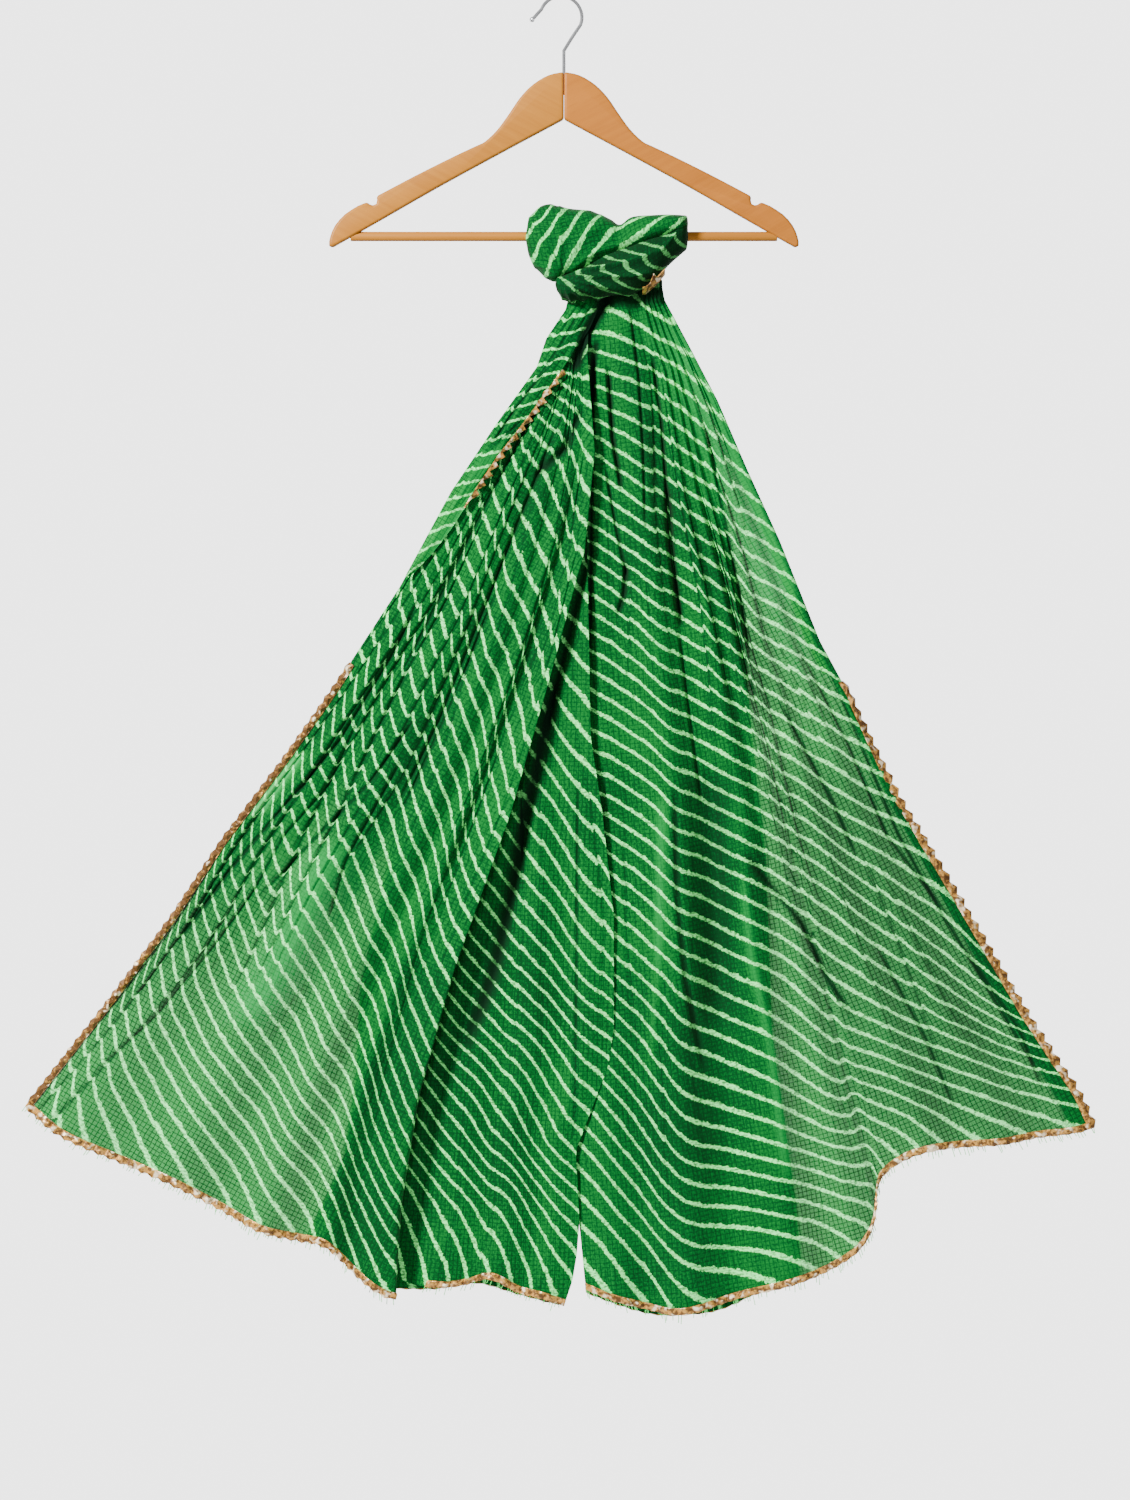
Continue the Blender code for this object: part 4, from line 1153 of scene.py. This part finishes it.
def plain_material(name, colour):
    """A matt surface with a faint cloudiness."""
    material, tree, shader, place = new_material(name, {"Roughness": 0.9})
    cloudy = mix_colours(tree, noise_of(tree, place, 6), colour, [part * 0.96 for part in colour])
    tree.links.new(cloudy, shader.inputs["Base Color"])
    return material


def smooth_run(spots, steps):
    """A row of spots read again in smaller steps, on a smooth curve."""
    count = (len(spots) - 1) * steps
    return [Spot(*[blend(values, step / steps) for values in zip(*spots)]) for step in range(count + 1)]


def carve_arm(name, side, material):
    """One rounded arm of the hanger, from its outline."""
    spots = smooth_run(ARM_TOP, 3) + list(ARM_NOTCH) + smooth_run(ARM_TIP, 2) + smooth_run(ARM_UNDER, 3)
    form = bmesh.new()
    points = [form.verts.new((HANGER_X + side * spot.offset, -ARM_DEPTH / 2, spot.z)) for spot in spots]
    face = form.faces.new(points)
    pushed = bmesh.ops.extrude_face_region(form, geom=[face])
    moved = [item for item in pushed["geom"] if isinstance(item, bmesh.types.BMVert)]
    bmesh.ops.translate(form, vec=(0, ARM_DEPTH, 0), verts=moved)
    bmesh.ops.recalc_face_normals(form, faces=form.faces)
    arm = new_piece(name, form, material)
    rounding = arm.modifiers.new("Rounding", "BEVEL")
    rounding.width = ARM_ROUNDING * MM
    rounding.segments = 4
    rounding.limit_method = "ANGLE"
    rounding.angle_limit = math.radians(60)
    return arm


def turn_bar(name, material):
    """The round bar between the arms."""
    form = bmesh.new()
    bmesh.ops.create_cone(
        form, cap_ends=True, segments=48, radius1=BAR_RADIUS, radius2=BAR_RADIUS, depth=2 * BAR_END
    )
    bmesh.ops.rotate(form, cent=(0, 0, 0), matrix=Matrix.Rotation(math.pi / 2, 3, "Y"), verts=form.verts)
    bmesh.ops.translate(form, vec=(HANGER_X, 0, BAR_Z), verts=form.verts)
    rims = [edge for edge in form.edges if abs(edge.verts[0].co.x - edge.verts[1].co.x) < 1]
    bmesh.ops.bevel(
        form, geom=rims, offset=0.8, segments=3, profile=0.5, affect="EDGES", material=-1,
        offset_type="OFFSET",
    )
    bmesh.ops.recalc_face_normals(form, faces=form.faces)
    return new_piece(name, form, material)


def dress_node(name, material):
    """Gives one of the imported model's own nodes a material."""
    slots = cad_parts[name].data.materials
    slots.clear()
    slots.append(material)


class STOLE_OT_hanger(bpy.types.Operator):
    """Make the hanger's arms and bar, and finish its hook"""

    bl_idname = "stole.hanger"
    bl_label = "Hanger"

    def execute(self, context):
        colours = context.scene.stole_colours
        for side, word, colour in ((-1, "left", colours.wood_left), (1, "right", colours.wood_right)):
            wood = wood_material(f"beech_{word}", colour, ARM_SLOPE * side)
            arm = carve_arm(f"arm_{word}", side, wood)
            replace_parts(arm, f"hanger_arm_{word}")
        bar = turn_bar("bar", wood_material("beech_bar", colours.wood_left, 0))
        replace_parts(bar, "hanger_bar")
        dress_node("hanger_hook", steel_material("steel_wire", colours.steel))
        return {"FINISHED"}


class STOLE_OT_hitch(bpy.types.Operator):
    """Make the gathered loop, wrap and band of the hitch"""

    bl_idname = "stole.hitch"
    bl_label = "Hitch"

    def execute(self, context):
        cloth = cloth_material("stole_gathered", 1.0, 1.08)
        for roll in ROLLS:
            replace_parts(lay_roll(roll, cloth), roll.node)
        return {"FINISHED"}


class STOLE_OT_falls(bpy.types.Operator):
    """Make both hanging ends of the stole, with their gold tape and loose threads"""

    bl_idname = "stole.falls"
    bl_label = "Falls and tape"

    def execute(self, context):
        sizes = context.scene.stole_sizes
        sheer = cloth_material("stole_sheer", 0.984, 1.0)
        gold = tape_material("gold_tape", 0.25)
        dull = tape_material("dull_tape", 0.9)
        reach = sizes.tooth_reach / MM
        pitch = sizes.tooth_pitch / MM
        made = {}
        rows = {}
        for sheet in SHEETS:
            made[sheet.node], rows[sheet.node] = lay_sheet(sheet.panel, sheer)
        knife_fold = LEFT.columns * (len(LEFT_FRONT) - 1) // (len(LEFT.rays) - 1)
        hem_left = edge_line(rows["fall_left_front"], "hem")[: knife_fold + 1]
        hem_inner = edge_line(rows["fall_left_inner"], "hem")[INNER.columns // 3 :]
        hem_right = edge_line(rows["fall_right_front"], "hem")
        side_left = edge_line(rows["fall_left_front"], "left")[LEFT.rows // 2 :]
        side_right = edge_line(rows["fall_right_front"], "right", 5)[RIGHT.rows // 2 + 2 :]
        edge_turned = edge_line(rows["fall_left_turned"], "right")[42:96]
        hem_back_left = edge_line(rows["fall_left_back"], "hem")
        hem_back_right = edge_line(rows["fall_right_back"], "hem")
        tapes = [
            ("gold_hem_left", hem_left, gold, 0.85 * pitch, 6.0, 2.6, 1, "tape_hem_left"),
            ("gold_hem_inner", hem_inner, gold, 0.9 * pitch, 6.0, 1.4, 1, "tape_hem_inner"),
            ("gold_hem_right", hem_right, gold, 0.9 * pitch, 6.0, 1.4, 1, "tape_hem_right"),
            ("gold_side_left", side_left, dull, 0.85 * pitch, 5.5, 0.5 * reach, 1, "tape_edge_left"),
            ("gold_side_right", side_right, gold, pitch, 6.0, reach, 1, "tape_edge_right"),
            ("gold_turned", edge_turned, gold, 0.8 * pitch, 1.6, 1.35 * reach, 1, "tape_turned"),
            ("gold_back_left", hem_back_left, gold, pitch, 5.0, 1.4, -1, "tape_hem_back_left"),
            ("gold_back_right", hem_back_right, gold, pitch, 5.0, 1.4, -1, "tape_hem_back_right"),
        ]
        for name, line, ribbon, spacing, band, past, face, node in tapes:
            made[name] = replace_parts(lay_tape(name, line, ribbon, spacing, band, past, face), node)
        made["loose_threads"] = lay_fray("loose_threads", (hem_left, hem_inner, hem_right), sheer)
        dress_node("tape_knot", gold)
        for sheet in SHEETS:
            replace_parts(made[sheet.node], sheet.node)
        return {"FINISHED"}


class STOLE_OT_stage(bpy.types.Operator):
    """Make the floor, the soft light and the camera"""

    bl_idname = "stole.stage"
    bl_label = "Stage"

    def execute(self, context):
        scene = context.scene
        sizes = scene.stole_sizes
        form = bmesh.new()
        bmesh.ops.create_circle(form, cap_ends=True, segments=128, radius=sizes.floor_radius)
        bmesh.ops.translate(form, vec=(0, 0, sizes.floor_height), verts=form.verts)
        mesh = bpy.data.meshes.new("floor")
        form.to_mesh(mesh)
        form.free()
        mesh.materials.append(plain_material("pale_floor", scene.stole_colours.floor))
        add_object("floor", mesh)
        for name, spot, size, power in (
            ("key_light", (-2.3, -2.6, 1.1), 0.7, 460),
            ("fill_light", (2.4, -3.4, -0.4), 2.4, 45),
            ("rear_light", (0.6, 3.0, 0.4), 2.4, 90),
        ):
            light = bpy.data.lights.new(name, "AREA")
            light.size = size
            light.energy = power
            lamp = add_object(name, light)
            lamp.location = spot
            lamp.rotation_euler = (AIM - Vector(spot)).to_track_quat("-Z", "Y").to_euler()
        world = bpy.data.worlds.new("studio")
        world.use_nodes = True
        tree = world.node_tree
        tree.nodes.clear()
        seen, lit = [
            add_node(tree, "ShaderNodeBackground", {"Color": (1, 1, 1, 1), "Strength": strength}).outputs[0]
            for strength in (SKY_SEEN, SKY_LIT)
        ]
        from_camera = add_node(tree, "ShaderNodeLightPath").outputs["Is Camera Ray"]
        choice = add_node(tree, "ShaderNodeMixShader", {0: from_camera, 1: lit, 2: seen})
        add_node(tree, "ShaderNodeOutputWorld", {"Surface": choice.outputs[0]})
        scene.world = world
        view = bpy.data.cameras.new("camera")
        view.sensor_fit = "VERTICAL"
        view.sensor_height = SENSOR_HEIGHT
        view.lens = SENSOR_HEIGHT * -CAMERA_PLACE[1] / FRAME_HEIGHT
        view.clip_end = 50.0
        camera = add_object("camera", view)
        camera.location = CAMERA_PLACE
        camera.rotation_euler = (math.pi / 2, 0, 0)
        scene.camera = camera
        return {"FINISHED"}


class STOLE_PT_panel(bpy.types.Panel):
    """The stole's pieces, sizes and colours"""

    bl_label = "Stole"
    bl_idname = "STOLE_PT_panel"
    bl_space_type = "VIEW_3D"
    bl_region_type = "UI"
    bl_category = "Stole"

    def draw(self, context):
        layout = self.layout
        for operator in OPERATORS:
            layout.operator(operator.bl_idname)
        for group in (context.scene.stole_sizes, context.scene.stole_colours):
            for name in group.__annotations__:
                layout.prop(group, name)


OPERATORS = (STOLE_OT_hanger, STOLE_OT_hitch, STOLE_OT_falls, STOLE_OT_stage)
CLASSES = (StoleSizes, StoleColours) + OPERATORS + (STOLE_PT_panel,)


def register():
    for item in CLASSES:
        bpy.utils.register_class(item)
    bpy.types.Scene.stole_sizes = bpy.props.PointerProperty(type=StoleSizes)
    bpy.types.Scene.stole_colours = bpy.props.PointerProperty(type=StoleColours)


def unregister():
    del bpy.types.Scene.stole_colours
    del bpy.types.Scene.stole_sizes
    for item in reversed(CLASSES):
        bpy.utils.unregister_class(item)


def main():
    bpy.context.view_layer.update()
    register()
    bpy.ops.stole.hanger()
    bpy.ops.stole.hitch()
    bpy.ops.stole.falls()
    bpy.ops.stole.stage()


if __name__ == "__main__":
    main()
